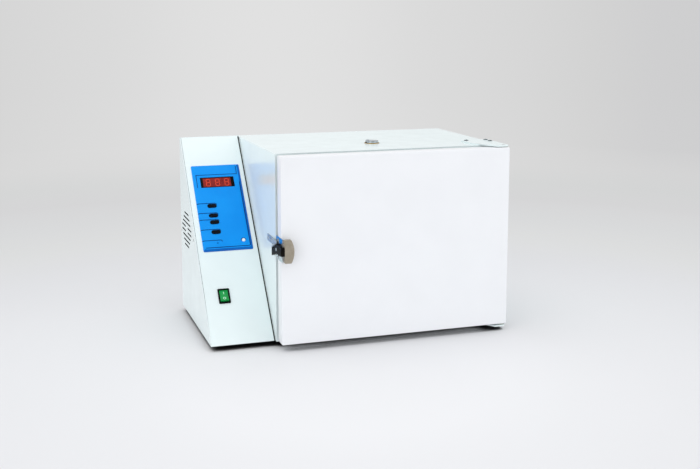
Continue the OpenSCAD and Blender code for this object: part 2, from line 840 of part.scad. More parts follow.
module fan_impeller() color(stainless) difference() {
  union() {
    rod_x(impeller_x0, impeller_x0 + liner_t, ax_y, ax_z, fan_r);
    rod_x(impeller_x0, impeller_x1 - 3, ax_y, ax_z, shaft_r + hub_wall);
    for (k = [0:fan_blades - 1]) translate([impeller_x0, ax_y, ax_z])
      rotate([k * 360 / fan_blades, 0, 0]) translate([0, fan_r * 0.45, 0]) rotate([25, 0, 0])
        cube([impeller_x1 - 4 - impeller_x0, fan_r * 0.5, liner_t]);
  }
  rod_x(impeller_x0 - 1, impeller_x1, ax_y, ax_z, shaft_r + run_gap);
}

module cooling_fan() color(dark) difference() {
  union() {
    rod_x(shaft_x0, shaft_x0 + cool_t, ax_y, ax_z, shaft_r + hub_wall);
    for (k = [0:4]) translate([shaft_x0 + cool_t / 2, ax_y, ax_z])
      rotate([k * 72, 0, 0]) translate([-1, shaft_r + 2, -5]) rotate([0, 20, 0])
        cube([1.2, cool_r - shaft_r - 2, 10]);
  }
  rod_x(shaft_x0 - 1, shaft_x0 + cool_t + 1, ax_y, ax_z, shaft_r + run_gap);
}

module vent_tube() color(stainless) difference() {
  rod_z(vent_x, vent_yy, ch_z1 - 2, tube_top, tube_r);
  rod_z(vent_x, vent_yy, ch_z1 - 3, tube_top + 1, tube_r - tube_t);
  vent_windows(z_top + collar_h + 0.6, tube_r + 1);
}

// Two windows through a tube's wall, on the left and the right
module vent_windows(z, reach) {
  box(vent_x - reach, vent_x + reach, vent_yy - cap_window, vent_yy + cap_window, z, z + cap_window_h);
}

module vent_collar() color("#c9a866") difference() {
  translate([vent_x, vent_yy, z_top]) rotate_extrude() {
    square([collar_r - collar_e, collar_h]);
    square([collar_r, collar_h - collar_e]);
    translate([collar_r - collar_e, collar_h - collar_e]) circle(collar_e);
  }
  rod_z(vent_x, vent_yy, z_top - 1, z_top + collar_h + 1, tube_r + run_gap);
}

module vent_cap() color(steel) {
  z0 = z_top + collar_h + fit_gap;
  difference() {
    translate([vent_x, vent_yy, z0]) rotate_extrude() {
      square([cap_r, cap_h - 1]);
      square([cap_r - 1, cap_h]);
      translate([cap_r - 1, cap_h - 1]) circle(1);
    }
    rod_z(vent_x, vent_yy, z0 - 1, tube_top + fit_gap, tube_r + run_gap);
    vent_windows(z_top + collar_h + 0.6, cap_r + 1);
  }
  translate([vent_x, vent_yy, z0 + cap_h]) rotate([0, 0, 140])
    translate([cap_r - 8, -pointer_w / 2, -0.5]) cube([6, pointer_w, 2]);
}

module keypad_panel() color(pad_blue) difference() {
  union() {
    on_pad() hull() {
      linear_extrude(0.8, convexity = 4) rrect(pad_w, pad_h, pad_corner, $fn = 24);
      translate([pad_rim, pad_rim, pad_t - 0.1])
        linear_extrude(0.1) rrect(pad_w - 2 * pad_rim, pad_h - 2 * pad_rim, 2, $fn = 24);
    }
    for (s = key_s) key_trace(s);
    key_trace(low_trace_s - trace_rise);
    header_trace();
  }
  on_pad(window_x - fit_gap, window_s - fit_gap, -1)
    cube([window_w + 2 * fit_gap, window_h + 2 * fit_gap, pad_t + 3]);
  for (s = key_s) on_pad(key_x, s, -1)
    linear_extrude(pad_t + 3) pill(key_l + 2 * fit_gap, key_w + 2 * fit_gap);
  on_pad(lamp_x, lamp_s, -1) cylinder(h = pad_t + 3, r = lamp_r + fit_gap);
  on_pad(key_x, dot_s, -1) cylinder(h = pad_t + 3, r = dot_r);
}

// A raised line from the keypad's left rim that turns down round the end of a key
module key_trace(s) {
  x1 = key_x + key_l / 2 - key_w / 2 + 1;
  bend_s = s + trace_rise - trace_drop;
  on_pad(pad_rim, s + trace_rise - trace_w / 2, pad_t - trace_sink)
    cube([x1 - pad_rim, trace_w, trace_h + trace_sink]);
  on_pad(x1, bend_s, pad_t - trace_sink) rotate_extrude(angle = 90)
    translate([trace_drop - trace_w / 2, 0]) square([trace_w, trace_h + trace_sink]);
}

module header_trace() {
  s1 = window_s + window_h + header_gap;
  x0 = pad_rim + 2;
  x1 = pad_w - 1.5 * pad_rim;
  h = trace_h + trace_sink;
  on_pad(x0, s1, pad_t - trace_sink) cube([x1 - x0, trace_w, h]);
  on_pad(x1 - trace_w, s1, pad_t - trace_sink) cube([trace_w, pad_h - pad_rim - s1, h]);
  on_pad(x0, window_s, pad_t - trace_sink) cube([trace_w, s1 + trace_w - window_s, h]);
}

module display_window() color("#3a0b0e") on_pad(window_x, window_s, pad_t - 0.4 - window_t)
  cube([window_w, window_h, window_t]);

module display_module() color(dark) {
  on_pad(window_x + 2, window_s + 2, board_n + board_t)
    cube([window_w - 4, window_h - 4, pad_t - 0.7 - window_t - board_n - board_t]);
}

module key(i) {
  on_pad(key_x, key_s[i]) {
    translate([0, 0, -fit_gap]) linear_extrude(pad_t + key_proud + fit_gap) pill(key_l, key_w);
    translate([0, 0, -fit_gap - key_flange_t]) linear_extrude(key_flange_t)
      pill(key_l + 2 * key_flange, key_w + 2 * key_flange);
    translate([0, 0, stem_end]) cylinder(h = -stem_end - fit_gap, r = stem_r);
  }
}

module key_1() color(dark) key(0);
module key_2() color(dark) key(1);
module key_3() color(dark) key(2);
module key_4() color(dark) key(3);

module status_lamp() color("#f4f7f7") on_pad(lamp_x, lamp_s) {
  translate([0, 0, board_n + board_t]) cylinder(h = pad_t - board_n - board_t, r = lamp_r - 1);
  translate([0, 0, -fit_gap - 1]) cylinder(h = pad_t + fit_gap + 1, r = lamp_r);
  translate([0, 0, pad_t]) rotate_extrude() intersection() {
    square([lamp_r, lamp_r]);
    translate([0, -1]) circle(lamp_r + 0.4);
  }
}

board_x = frame_in + 4;
board_s = frame_in + 3;
board_w = pad_w - 2 * board_x;
board_h = pad_h - 2 * board_s;

module control_board() color("#2f6b45") {
  difference() {
    on_pad(board_x, board_s, board_n) cube([board_w, board_h, board_t]);
    for (s = key_s) on_pad(key_x, s, board_n - 1) cylinder(h = board_t + 2, r = stem_r + 0.6);
  }
  for (x = [board_x + 3, pad_w - board_x - 3], s = [board_s + 3, pad_h - board_s - 3]) {
    on_pad(x, s, board_n - 2) cylinder(h = -board_n + 2 - fit_gap, r = post_r / 2);
    on_pad(x, s, board_n + board_t) cylinder(h = -board_n - board_t - fit_gap, r = post_r);
  }
}

module key_switches() color("#d5d6d0") for (s = key_s) difference() {
  on_pad(key_x - switch_w / 2, s - switch_w / 2, board_n + board_t)
    cube([switch_w, switch_w, switch_h]);
  on_pad(key_x, s, board_n) cylinder(h = 10, r = stem_r + run_gap);
}

module power_transformer() color("#8a8378") {
  x0 = trans_x - trans_w / 2;
  x1 = trans_x + trans_w / 2;
  y0 = trans_y - trans_d / 2;
  y1 = trans_y + trans_d / 2;
  box(x0, x1, y0, y1, slab_z0, slab_z0 + trans_h);
  box(x0 + trans_in, x1 - trans_in, y0 - trans_coil, y1 + trans_coil, slab_z0 + trans_in,
    slab_z0 + trans_h - trans_in);
}

module heater_relay() color("#d7d8d3") {
  box(relay_x - relay_w / 2, relay_x + relay_w / 2, relay_y - relay_d / 2, relay_y + relay_d / 2,
    slab_z0, slab_z0 + relay_h);
  for (a = [-1, 1], b = [-1, 1])
    rod_z(relay_x + a * relay_post_x, relay_y + b * relay_post_y, slab_z0,
      slab_z0 + relay_h + relay_post_h, relay_post_r);
}

module rocker_housing() color(dark) on_slope(rocker_x, rocker_s) difference() {
  union() {
    translate([-bezel_w / 2, -bezel_h / 2, 0]) linear_extrude(bezel_t) rrect(bezel_w, bezel_h, 2);
    translate([-housing_w / 2, -housing_h / 2, -housing_deep])
      cube([housing_w, housing_h, housing_deep]);
    for (x = [-5, 5]) translate([x - 3, -0.4, -housing_deep - 8]) cube([6, 0.8, 9]);
  }
  translate([-rocker_w / 2 - fit_gap, -housing_h / 2 + rocker_wall, -cavity_deep])
    cube([rocker_w + 2 * fit_gap, housing_h - 2 * rocker_wall, cavity_deep + bezel_t + 1]);
  translate([-housing_w / 2 + 0.8, 0, rocker_n]) rotate([0, 90, 0])
    cylinder(h = housing_w - 1.6, r = axle_r + run_gap);
}

module rocker_key() color("#18a558") on_slope(rocker_x, rocker_s, rocker_n)
  rotate([-rocker_tilt, 0, 0]) {
    rise = rocker_half * tan(rocker_tilt);
    translate([-rocker_w / 2, 0, 0]) rotate([90, 0, 90]) linear_extrude(rocker_w)
      polygon([[-rocker_half, rocker_face + rise], [0, rocker_face], [rocker_half, rocker_face + rise],
        [rocker_half, 0], [rocker_half / 2, -rocker_deep], [-rocker_half / 2, -rocker_deep],
        [-rocker_half, 0]]);
    translate([-housing_w / 2 + 1, 0, 0]) rotate([0, 90, 0]) cylinder(h = housing_w - 2, r = axle_r);
  }

module mains_inlet() color(dark) {
  x = x_left + inlet_x;
  z = z_low + inlet_z;
  difference() {
    union() {
      along_y(y_back - inlet_deep, inlet_deep) translate([x - inlet_w / 2, z - inlet_hh / 2])
        square([inlet_w, inlet_hh]);
      along_y(y_back, ear_t) translate([x - ear_w / 2, z - inlet_hh / 2 - 2])
        rrect(ear_w, inlet_hh + 4, 6);
    }
    box(x - socket_w / 2, x + socket_w / 2, y_back + ear_t - socket_deep, y_back + ear_t + 1,
      z - socket_h / 2, z + socket_h / 2);
  }
  for (p = [[-7, -2], [7, -2], [0, 2]])
    box(x + p[0] - 1, x + p[0] + 1, y_back + ear_t - socket_deep, y_back + ear_t - pin_sink,
      z + p[1] - 2, z + p[1] + 2);
  for (k = [-1, 1]) translate([x + k * (ear_w / 2 - 5), y_back + ear_t, z]) rotate([-90, 0, 0])
    screw(case_screw_r, ear_t / 2, 2.8, 1.2);
}

module fuse_holders() color(dark) for (k = [-1, 1]) {
  x = x_left + inlet_x + k * fuse_pitch / 2;
  z = z_low + fuse_z;
  rod_y(x, y_back - fuse_deep, y_back, z, fuse_r - 1);
  rod_y(x, y_back, y_back + 3, z, fuse_r + 1.5);
  rod_y(x, y_back, y_back + rear_reach, z, fuse_r);
}

function arc_points(x, y, r, a) = [for (k = [0:5]) [x + r * cos(a + 18 * k), y + r * sin(a + 18 * k)]];

// A hinge plate from above: a nose round the pin, and the corner beside it cut off
module plate_outline() {
  nose_r = plate_rim - 1;
  polygon(concat(arc_points(x_right - plate_r, plate_y1 - plate_r, plate_r, 0),
    arc_points(plate_x0 + plate_r, plate_y1 - plate_r, plate_r, 90),
    [[plate_x0, plate_y0 + plate_cut], [x_right - plate_nose, plate_y0]],
    arc_points(x_right - nose_r, plate_y0 + nose_r, nose_r, 270)));
}

module hinge_plate(z0, dir) {
  difference() {
    translate([0, 0, z0]) linear_extrude(plate_t) plate_outline();
    rod_z(hinge_x, hinge_y, z0 - 1, z0 + plate_t + 1, pin_r + run_gap);
    for (p = plate_screws) rod_z(p[0], p[1], z0 - 1, z0 + plate_t + 1, screw_r + run_gap);
  }
  for (p = plate_screws)
    translate([p[0], p[1], dir > 0 ? z0 + plate_t + run_gap : z0 - run_gap])
      rotate([dir > 0 ? 0 : 180, 0, 0])
        screw(screw_r, plate_t + sheet_t + screw_in - 1, head_r, head_h);
}

module hinge_plates() color(paint) {
  hinge_plate(z_top, 1);
  hinge_plate(z_low - plate_t, -1);
}

module hinge_pins() color(steel) {
  rod_z(hinge_x, hinge_y, d_z1 - pin_in, z_top + plate_t, pin_r);
  rod_z(hinge_x, hinge_y, z_low - plate_t, d_z0 + pin_in, pin_r);
}

module door_shell() color(door_paint) difference() {
  along_y(d_yf, door_t) translate([d_x0, d_z0]) rrect(d_w, d_h, door_r);
  along_y(d_yf + skin_t, door_t) translate([d_x0 + skin_t, d_z0 + skin_t])
    rrect(d_w - 2 * skin_t, d_h - 2 * skin_t, door_r - skin_t);
  rod_z(hinge_x, hinge_y, d_z0 - 1, d_z0 + 2 * skin_t, bush_r + run_gap);
  rod_z(hinge_x, hinge_y, d_z1 - 2 * skin_t, d_z1 + 1, bush_r + run_gap);
  latch_holes(run_gap);
}

module latch_holes(extra) {
  rod_x(d_x0 - 1, d_x0 + 2 * skin_t, la_y, la_z, latch_pin_r + extra);
  for (k = [-1, 1])
    rod_x(d_x0 - 1, d_x0 + 2 * skin_t, la_y + 9, la_z + k * (latch_plate_h / 2 - 7),
      case_screw_r + extra);
}

panel_y = d_yb - liner_t;

module door_inner_panel() color(stainless) {
  inner = skin_t + fit_gap;
  bx0 = ch_x0 + boss_in;
  bx1 = ch_x1 - boss_in;
  bz0 = ch_z0 + boss_in;
  bz1 = ch_z1 - boss_in;
  difference() {
    union() {
      along_y(panel_y, liner_t) translate([d_x0 + inner, d_z0 + inner])
        rrect(d_w - 2 * inner, d_h - 2 * inner, door_r - skin_t);
      along_y(panel_y, boss_h) translate([bx0, bz0]) rrect(bx1 - bx0, bz1 - bz0, 8);
    }
    along_y(panel_y - 1, boss_h + 1 - liner_t) translate([bx0 + liner_t, bz0 + liner_t])
      rrect(bx1 - bx0 - 2 * liner_t, bz1 - bz0 - 2 * liner_t, 7);
  }
}

module door_insulation() color(wool) difference() {
  box(d_x0 + skin_t, d_x1 - skin_t, d_yf + skin_t, panel_y, d_z0 + skin_t, d_z1 - skin_t);
  for (x = [d_x0, d_x1], z = [d_z0, d_z1]) translate([x, d_yf, z]) rotate([0, 45, 0])
    translate([-door_r, 0, -door_r]) cube([2 * door_r, door_t, 2 * door_r]);
  rod_z(hinge_x, hinge_y, d_z0, d_z0 + pin_in + 4, bush_r + fit_gap);
  rod_z(hinge_x, hinge_y, d_z1 - pin_in - 4, d_z1, bush_r + fit_gap);
  box(d_x0, d_x0 + skin_t + backing_t + fit_gap, d_yf, panel_y - 1, la_z - latch_plate_h / 2 - 1,
    la_z + latch_plate_h / 2 + 1);
  rod_x(d_x0, d_x0 + skin_t + backing_t + 6, la_y, la_z, latch_pin_r + fit_gap);
}

module door_gasket() color("#e9e6dd") along_y(d_yb, door_gap - fit_gap) difference() {
  g = gasket_in + gasket_w;
  translate([ch_x0 - g, ch_z0 - g]) rrect(ch_x1 - ch_x0 + 2 * g, ch_h + 2 * g, gasket_w);
  translate([ch_x0 - gasket_in, ch_z0 - gasket_in])
    rrect(ch_x1 - ch_x0 + 2 * gasket_in, ch_h + 2 * gasket_in, gasket_in);
}

module door_bushes() color("#c8a24c") {
  difference() {
    union() {
      rod_z(hinge_x, hinge_y, d_z1 - pin_in - 2, d_z1 + 0.2, bush_r);
      rod_z(hinge_x, hinge_y, d_z1 + run_gap, z_top - bush_gap, flange_r);
      rod_z(hinge_x, hinge_y, d_z0 - 0.2, d_z0 + pin_in + 2, bush_r);
      rod_z(hinge_x, hinge_y, z_low + bush_gap, d_z0 - run_gap, flange_r);
    }
    rod_z(hinge_x, hinge_y, d_z1 - pin_in - 0.5, z_top + 1, pin_r + run_gap);
    rod_z(hinge_x, hinge_y, z_low - 1, d_z0 + pin_in + 0.5, pin_r + run_gap);
  }
}

latch_screw_y = la_y + 9;
latch_screw_dz = latch_plate_h / 2 - 7;

module latch_base() color(steel) {
  difference() {
    union() {
      along_x(la_x1, latch_plate_t) difference() {
        translate([latch_plate_y0, la_z - latch_plate_h / 2])
          rrect(latch_plate_y1 - latch_plate_y0, latch_plate_h, 2);
        translate([latch_plate_y0 - 1, la_z - notch_h / 2]) square([notch_d + 1, notch_h]);
      }
      box(d_x0 + skin_t, d_x0 + skin_t + backing_t, la_y - 8, la_y + 14,
        la_z - latch_plate_h / 2 + 1, la_z + latch_plate_h / 2 - 1);
    }
    rod_x(la_x1 - 1, d_x0 + skin_t + backing_t + 1, la_y, la_z, latch_pin_r + run_gap);
    for (k = [-1, 1]) rod_x(la_x1 - 1, d_x0 + skin_t + backing_t + 1, latch_screw_y,
      la_z + k * latch_screw_dz, case_screw_r + run_gap);
  }
  rod_x(lever_x0 - fit_gap - latch_head_t, lever_x0 - fit_gap, la_y, la_z, latch_pin_r + 1.2);
  rod_x(lever_x0 - fit_gap - 0.1, d_x0 + skin_t + backing_t + 4, la_y, la_z, latch_pin_r);
  for (k = [-1, 1]) translate([la_x1 - run_gap, latch_screw_y, la_z + k * latch_screw_dz])
    rotate([0, -90, 0])
      screw(case_screw_r, latch_plate_t + skin_t + backing_t, case_head_r, case_head_h);
  difference() {
    rod_x(lever_x1 - spring_t + run_gap, la_x1 - run_gap, la_y, la_z, spring_r);
    rod_x(la_x1 - 2 * spring_t, la_x1, la_y, la_z, latch_pin_r + fit_gap);
  }
}

// Top of the lever's arm: below the striker by the lift of the hooked position
function arm_top(u, v) = v - u * sin(hook_angle) - arm_gap;

module lever_outline() {
  h = lever_h / 2;
  u_front = neck_rear - la_y;
  polygon([[u_front, h], [core_u, h], [core_u, arm_top(striker_u0, striker_v0)],
    [striker_u0, arm_top(striker_u0, striker_v0)], [striker_u1, arm_top(striker_u1, striker_v1)],
    [nose_u0, arm_top(striker_u1, striker_v1)], [nose_u0, striker_v1 - nose_gap],
    [nose_u1, striker_v1 - nose_gap - 2], [nose_u1, -arm_drop], [core_u, -h], [u_front, -h]]);
}

module latch_lever() color(dark) difference() {
  along_x(lever_x0, lever_t) translate([la_y, la_z]) lever_outline();
  rod_x(lever_x0 - 1, lever_x1 + 1, la_y, la_z, latch_pin_r + run_gap);
  rod_x(lever_x1 - spring_t, lever_x1 + 1, la_y, la_z, spring_r + fit_gap);
}

module latch_grip() color(taupe) {
  along_y(grip_y0, grip_t) grip_face();
  box(lever_x0, grip_x0 + 2, grip_y0, neck_rear, la_z - neck_h / 2, la_z + neck_h / 2);
}

// The grip seen from the front: flat left, top and bottom, with a bulging right side
module grip_face() {
  bulge = grip_w * 0.3;
  r = (grip_h * grip_h / 4 + bulge * bulge) / (2 * bulge);
  intersection() {
    translate([grip_x0, la_z - grip_h / 2]) rrect(grip_w + 6, grip_h, 3);
    translate([grip_x1 - r, la_z]) circle(r, $fn = 128);
  }
}

keeper_screw_y = [la_y + keeper_u1 + 12, la_y + keeper_u1 + keeper_len - 10];
keeper_screw_z = la_z + (striker_v1 + 2 + striker_top) / 2;

module latch_keeper() color(steel) {
  kx1 = lever_x1 - 0.8;
  difference() {
    union() {
      box(x_cab - keeper_leaf_t, x_cab, la_y + keeper_u1, la_y + keeper_u1 + keeper_len,
        la_z + striker_v1 + 2, la_z + striker_top);
      box(kx1 - keeper_t, x_cab, la_y + keeper_u1, la_y + keeper_u1 + 2, la_z + striker_v1 + 2,
        la_z + striker_top);
      along_x(kx1 - keeper_t, keeper_t) translate([la_y, la_z]) polygon([
        [striker_u0, striker_v0], [striker_u1, striker_v1], [striker_u1, striker_pocket],
        [keeper_u1, striker_pocket], [keeper_u1 + 2, striker_pocket], [keeper_u1 + 2, striker_top],
        [striker_u0, striker_top]]);
      along_x(kx1 - 3 * keeper_t, 3 * keeper_t) translate([la_y, la_z]) polygon([
        [striker_u0, striker_v0], [striker_u1, striker_v1], [striker_u1, striker_v1 + 1.6],
        [striker_u0, striker_v0 + 1.6]]);
    }
    for (y = keeper_screw_y) rod_x(x_cab - 4, x_cab + 1, y, keeper_screw_z, case_screw_r + run_gap);
  }
  for (y = keeper_screw_y) translate([x_cab - keeper_leaf_t - run_gap, y, keeper_screw_z])
    rotate([0, -90, 0]) screw(case_screw_r, keeper_leaf_t + sheet_t + 3, case_head_r, case_head_h);
}

cabinet_shell();
front_frame();
base_pan();
back_panel();
control_side_panel();
control_cover();
control_floor();
feet();
chamber_liner();
insulation_top();
insulation_bottom();
insulation_left();
insulation_right();
insulation_back();
air_baffle();
heaters();
heater_bushings();
shelf_rails_left();
shelf_rails_right();
shelf_upper();
shelf_lower();
temperature_probe();
safety_thermostat();
motor_stack();
motor_coil();
motor_plates();
fan_shaft();
motor_rotor();
fan_impeller();
cooling_fan();
vent_tube();
vent_collar();
vent_cap();
keypad_panel();
display_window();
display_module();
key_1();
key_2();
key_3();
key_4();
status_lamp();
control_board();
key_switches();
power_transformer();
heater_relay();
rocker_housing();
rocker_key();
mains_inlet();
fuse_holders();
hinge_plates();
hinge_pins();
door_shell();
door_inner_panel();
door_insulation();
door_gasket();
door_bushes();
latch_base();
latch_lever();
latch_grip();
latch_keeper();
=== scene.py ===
import bpy
import bmesh
import json
import math
from mathutils import Matrix, Vector


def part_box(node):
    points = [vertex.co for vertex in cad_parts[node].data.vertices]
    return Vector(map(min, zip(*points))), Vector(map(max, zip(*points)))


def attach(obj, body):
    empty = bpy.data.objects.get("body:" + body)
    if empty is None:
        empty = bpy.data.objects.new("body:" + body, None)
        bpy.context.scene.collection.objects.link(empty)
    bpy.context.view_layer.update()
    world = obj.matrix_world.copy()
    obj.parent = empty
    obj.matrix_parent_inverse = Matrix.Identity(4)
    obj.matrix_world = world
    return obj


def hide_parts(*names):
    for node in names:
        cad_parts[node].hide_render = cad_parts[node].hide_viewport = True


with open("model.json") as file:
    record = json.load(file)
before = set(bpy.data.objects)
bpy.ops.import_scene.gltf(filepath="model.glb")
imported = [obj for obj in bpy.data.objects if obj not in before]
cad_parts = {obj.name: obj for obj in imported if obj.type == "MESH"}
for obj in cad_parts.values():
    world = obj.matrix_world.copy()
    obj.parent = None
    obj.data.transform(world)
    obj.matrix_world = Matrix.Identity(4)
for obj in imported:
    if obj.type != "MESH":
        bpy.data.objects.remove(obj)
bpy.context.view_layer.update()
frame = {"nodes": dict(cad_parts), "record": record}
nodes = frame["nodes"]
scene = bpy.context.scene
mm = 0.001
print("frame loaded with", len(nodes), "nodes")


# An sRGB hex colour as the linear colour that shaders and lamps take
def linear(hexColour):
    channels = [int(hexColour[i:i + 2], 16) / 255 for i in (1, 3, 5)]
    return [c / 12.92 if c <= 0.04045 else ((c + 0.055) / 1.055) ** 2.4 for c in channels] + [1.0]


# Adds one shader node. A key that is a socket's name or number sets that socket, any other a property
def addNode(tree, kind, settings=None, links=None):
    node = tree.nodes.new(kind)
    for key, value in (settings or {}).items():
        if key == "stops":
            elements = node.color_ramp.elements
            while len(elements) < len(value):
                elements.new(0.5)
            for element, (position, colour) in zip(elements, value):
                element.position = position
                element.color = linear(colour)
        elif isinstance(key, int) or key in node.inputs:
            node.inputs[key].default_value = linear(value) if isinstance(value, str) else value
        else:
            setattr(node, key, value)
    for key, source in (links or {}).items():
        tree.links.new(source, node.inputs[key])
    return node


# A new material with its fixed shader values set straight on the shader
def startMaterial(name, look):
    material = bpy.data.materials.new(name)
    material.use_nodes = True
    tree = material.node_tree
    shader = tree.nodes["Principled BSDF"]
    for socket, value in look.items():
        shader.inputs[socket].default_value = linear(value) if isinstance(value, str) else value
    place = addNode(tree, "ShaderNodeTexCoord").outputs["Object"]
    return material, tree, shader, place


# Two close tones drift into each other over patches of the given size
def mottle(tree, shader, place, toneA, toneB, patch):
    cloud = addNode(tree, "ShaderNodeTexNoise", {"Scale": 1 / patch, "Detail": 3.0}, {"Vector": place})
    tones = addNode(tree, "ShaderNodeValToRGB", {"stops": [(0.35, toneA), (0.65, toneB)]},
                    {"Fac": cloud.outputs["Fac"]})
    tree.links.new(tones.outputs["Color"], shader.inputs["Base Color"])


# The roughness drifts between two values over patches of the given size
def unevenGloss(tree, shader, place, low, high, patch):
    cloud = addNode(tree, "ShaderNodeTexNoise", {"Scale": 1 / patch, "Detail": 2.0}, {"Vector": place})
    spread = addNode(tree, "ShaderNodeMapRange",
                     {"From Min": 0.3, "From Max": 0.7, "To Min": low, "To Max": high},
                     {"Value": cloud.outputs["Fac"]})
    tree.links.new(spread.outputs["Result"], shader.inputs["Roughness"])


# The pattern's pale parts stand out from the surface by the given depth
def relief(tree, shader, pattern, depth):
    bump = addNode(tree, "ShaderNodeBump", {"Strength": 1.0, "Distance": depth},
                   {"Height": pattern.outputs["Fac"]})
    tree.links.new(bump.outputs["Normal"], shader.inputs["Normal"])


# A fine grain of the given size and depth
def grain(tree, shader, place, size, depth):
    cloud = addNode(tree, "ShaderNodeTexNoise", {"Scale": 1 / size, "Detail": 2.0}, {"Vector": place})
    relief(tree, shader, cloud, depth)


# Powder-coated steel: the baked paint flows into soft waves about 2 mm apart, which break up reflections
def powderCoatedSteel(name, toneA, toneB, roughness):
    material, tree, shader, place = startMaterial(name, {"IOR": 1.5})
    mottle(tree, shader, place, toneA, toneB, 90 * mm)
    unevenGloss(tree, shader, place, roughness - 0.02, roughness + 0.02, 40 * mm)
    grain(tree, shader, place, 2.2 * mm, 0.02 * mm)
    return material


# Brushed stainless steel: the belt leaves fine lines along one axis, which draw highlights out across them
def brushedStainless(name, toneA, toneB, axis, roughness):
    material, tree, shader, place = startMaterial(name, {"Metallic": 1.0})
    mottle(tree, shader, place, toneA, toneB, 50 * mm)
    lines = [1 / (0.6 * mm)] * 3  # real scratches lie 0.05 mm apart, drawn coarser so that they show
    lines[axis] = 1 / (70 * mm)
    stretch = addNode(tree, "ShaderNodeMapping", {"Scale": lines}, {"Vector": place})
    cloud = addNode(tree, "ShaderNodeTexNoise", {"Scale": 1.0, "Detail": 3.0},
                    {"Vector": stretch.outputs["Vector"]})
    spread = addNode(tree, "ShaderNodeMapRange", {"From Min": 0.25, "From Max": 0.75,
                                                  "To Min": roughness - 0.08, "To Max": roughness + 0.1},
                     {"Value": cloud.outputs["Fac"]})
    tree.links.new(spread.outputs["Result"], shader.inputs["Roughness"])
    relief(tree, shader, cloud, 0.012 * mm)
    return material


# Plated, drawn or oven-darkened metal: an even skin with faint cloudy stains and a fine drawn grain
def plainMetal(name, toneA, toneB, roughness, grainSize=0.8 * mm, depth=0.006 * mm):
    material, tree, shader, place = startMaterial(name, {"Metallic": 1.0})
    mottle(tree, shader, place, toneA, toneB, 12 * mm)
    unevenGloss(tree, shader, place, roughness - 0.05, roughness + 0.05, 8 * mm)
    grain(tree, shader, place, grainSize, depth)
    return material


# Moulded plastic or rubber: the mould's spark-eroded grain breaks the highlight
def mouldedPlastic(name, toneA, toneB, roughness, grainSize=0.6 * mm, depth=0.01 * mm, look=None):
    material, tree, shader, place = startMaterial(name, dict({"IOR": 1.49}, **(look or {})))
    mottle(tree, shader, place, toneA, toneB, 15 * mm)
    unevenGloss(tree, shader, place, roughness - 0.04, roughness + 0.04, 10 * mm)
    grain(tree, shader, place, grainSize, depth)
    return material


# Screen-printed polyester film over a moulded panel: smooth colour with a faint leather-like emboss
def printedFilm(name, toneA, toneB, roughness):
    material, tree, shader, place = startMaterial(name, {"IOR": 1.5, "Specular IOR Level": 0.12})
    mottle(tree, shader, place, toneA, toneB, 60 * mm)
    unevenGloss(tree, shader, place, roughness - 0.03, roughness + 0.03, 30 * mm)
    grain(tree, shader, place, 0.9 * mm, 0.004 * mm)
    return material


# Needled mineral wool: long loose fibres, matt, with darker hollows between them
def mineralWool(name):
    material, tree, shader, place = startMaterial(name, {"Roughness": 0.95, "Sheen Weight": 0.2})
    mottle(tree, shader, place, "#c8bd95", "#e6dfc4", 6 * mm)
    strands = addNode(tree, "ShaderNodeMapping", {"Scale": (1 / (9 * mm), 1 / (9 * mm), 1 / (1.5 * mm))},
                      {"Vector": place})  # real fibres are 0.01 mm thick, drawn as tufts of 1.5 mm
    cloud = addNode(tree, "ShaderNodeTexNoise", {"Scale": 1.0, "Detail": 6.0},
                    {"Vector": strands.outputs["Vector"]})
    relief(tree, shader, cloud, 0.8 * mm)
    return material


# Metal in layers: sheets or wires 0.5 mm thick lie side by side, drawn 1 mm apart so that they show
def layeredMetal(name, toneA, toneB, patch, roughness, way, wander, depth):
    material, tree, shader, place = startMaterial(name, {"Metallic": 1.0, "Roughness": roughness})
    mottle(tree, shader, place, toneA, toneB, patch)
    layers = addNode(tree, "ShaderNodeTexWave", {"Scale": 0.314 / (1 * mm), "Distortion": wander,
                                                "Detail": 1.0, "bands_direction": way}, {"Vector": place})
    relief(tree, shader, layers, depth)
    return material


casingPaint = powderCoatedSteel("powderCoatedSteelCasing", "#e4f0f1", "#e7f3f4", 0.22)
doorPaint = powderCoatedSteel("powderCoatedSteelDoor", "#ebedf0", "#edeff2", 0.3)
linerSteel = brushedStainless("brushedStainlessSheet", "#b7babd", "#c6c9cc", 1, 0.3)
wireSteel = plainMetal("chromedSteelWire", "#c9ccd0", "#d6d9dc", 0.18)
brightSteel = plainMetal("nickelPlatedSteel", "#b9c0c5", "#d0d6d9", 0.16)
heaterSteel = plainMetal("oxidisedHeaterSteel", "#665f58", "#857c72", 0.45)
# Stamped core sheets stacked along the shaft
coreSteel = layeredMetal("laminatedCoreSteel", "#74777b", "#8f9296", 14 * mm, 0.42, "X", 0.4, 0.08 * mm)
darkSteel = mouldedPlastic("blackLacqueredSteel", "#0f0d0b", "#1a1714", 0.45, look={
    "Specular IOR Level": 0.04})  # a baked lacquer hides the metal, so the lever is shaded as a coating
zincSteel = plainMetal("zincPlatedSteel", "#c2c8cc", "#dbe0e2", 0.5)
platedBrass = plainMetal("nickelPlatedBrass", "#b8bdb4", "#c9cdc4", 0.26)
# Near-black that stands in for shade: painted shade on the casing's insides, undersides and slot walls
shadeBlackSteel = powderCoatedSteel("paintedShadeBlackSteel", "#0b0d0d", "#111413", 0.6)
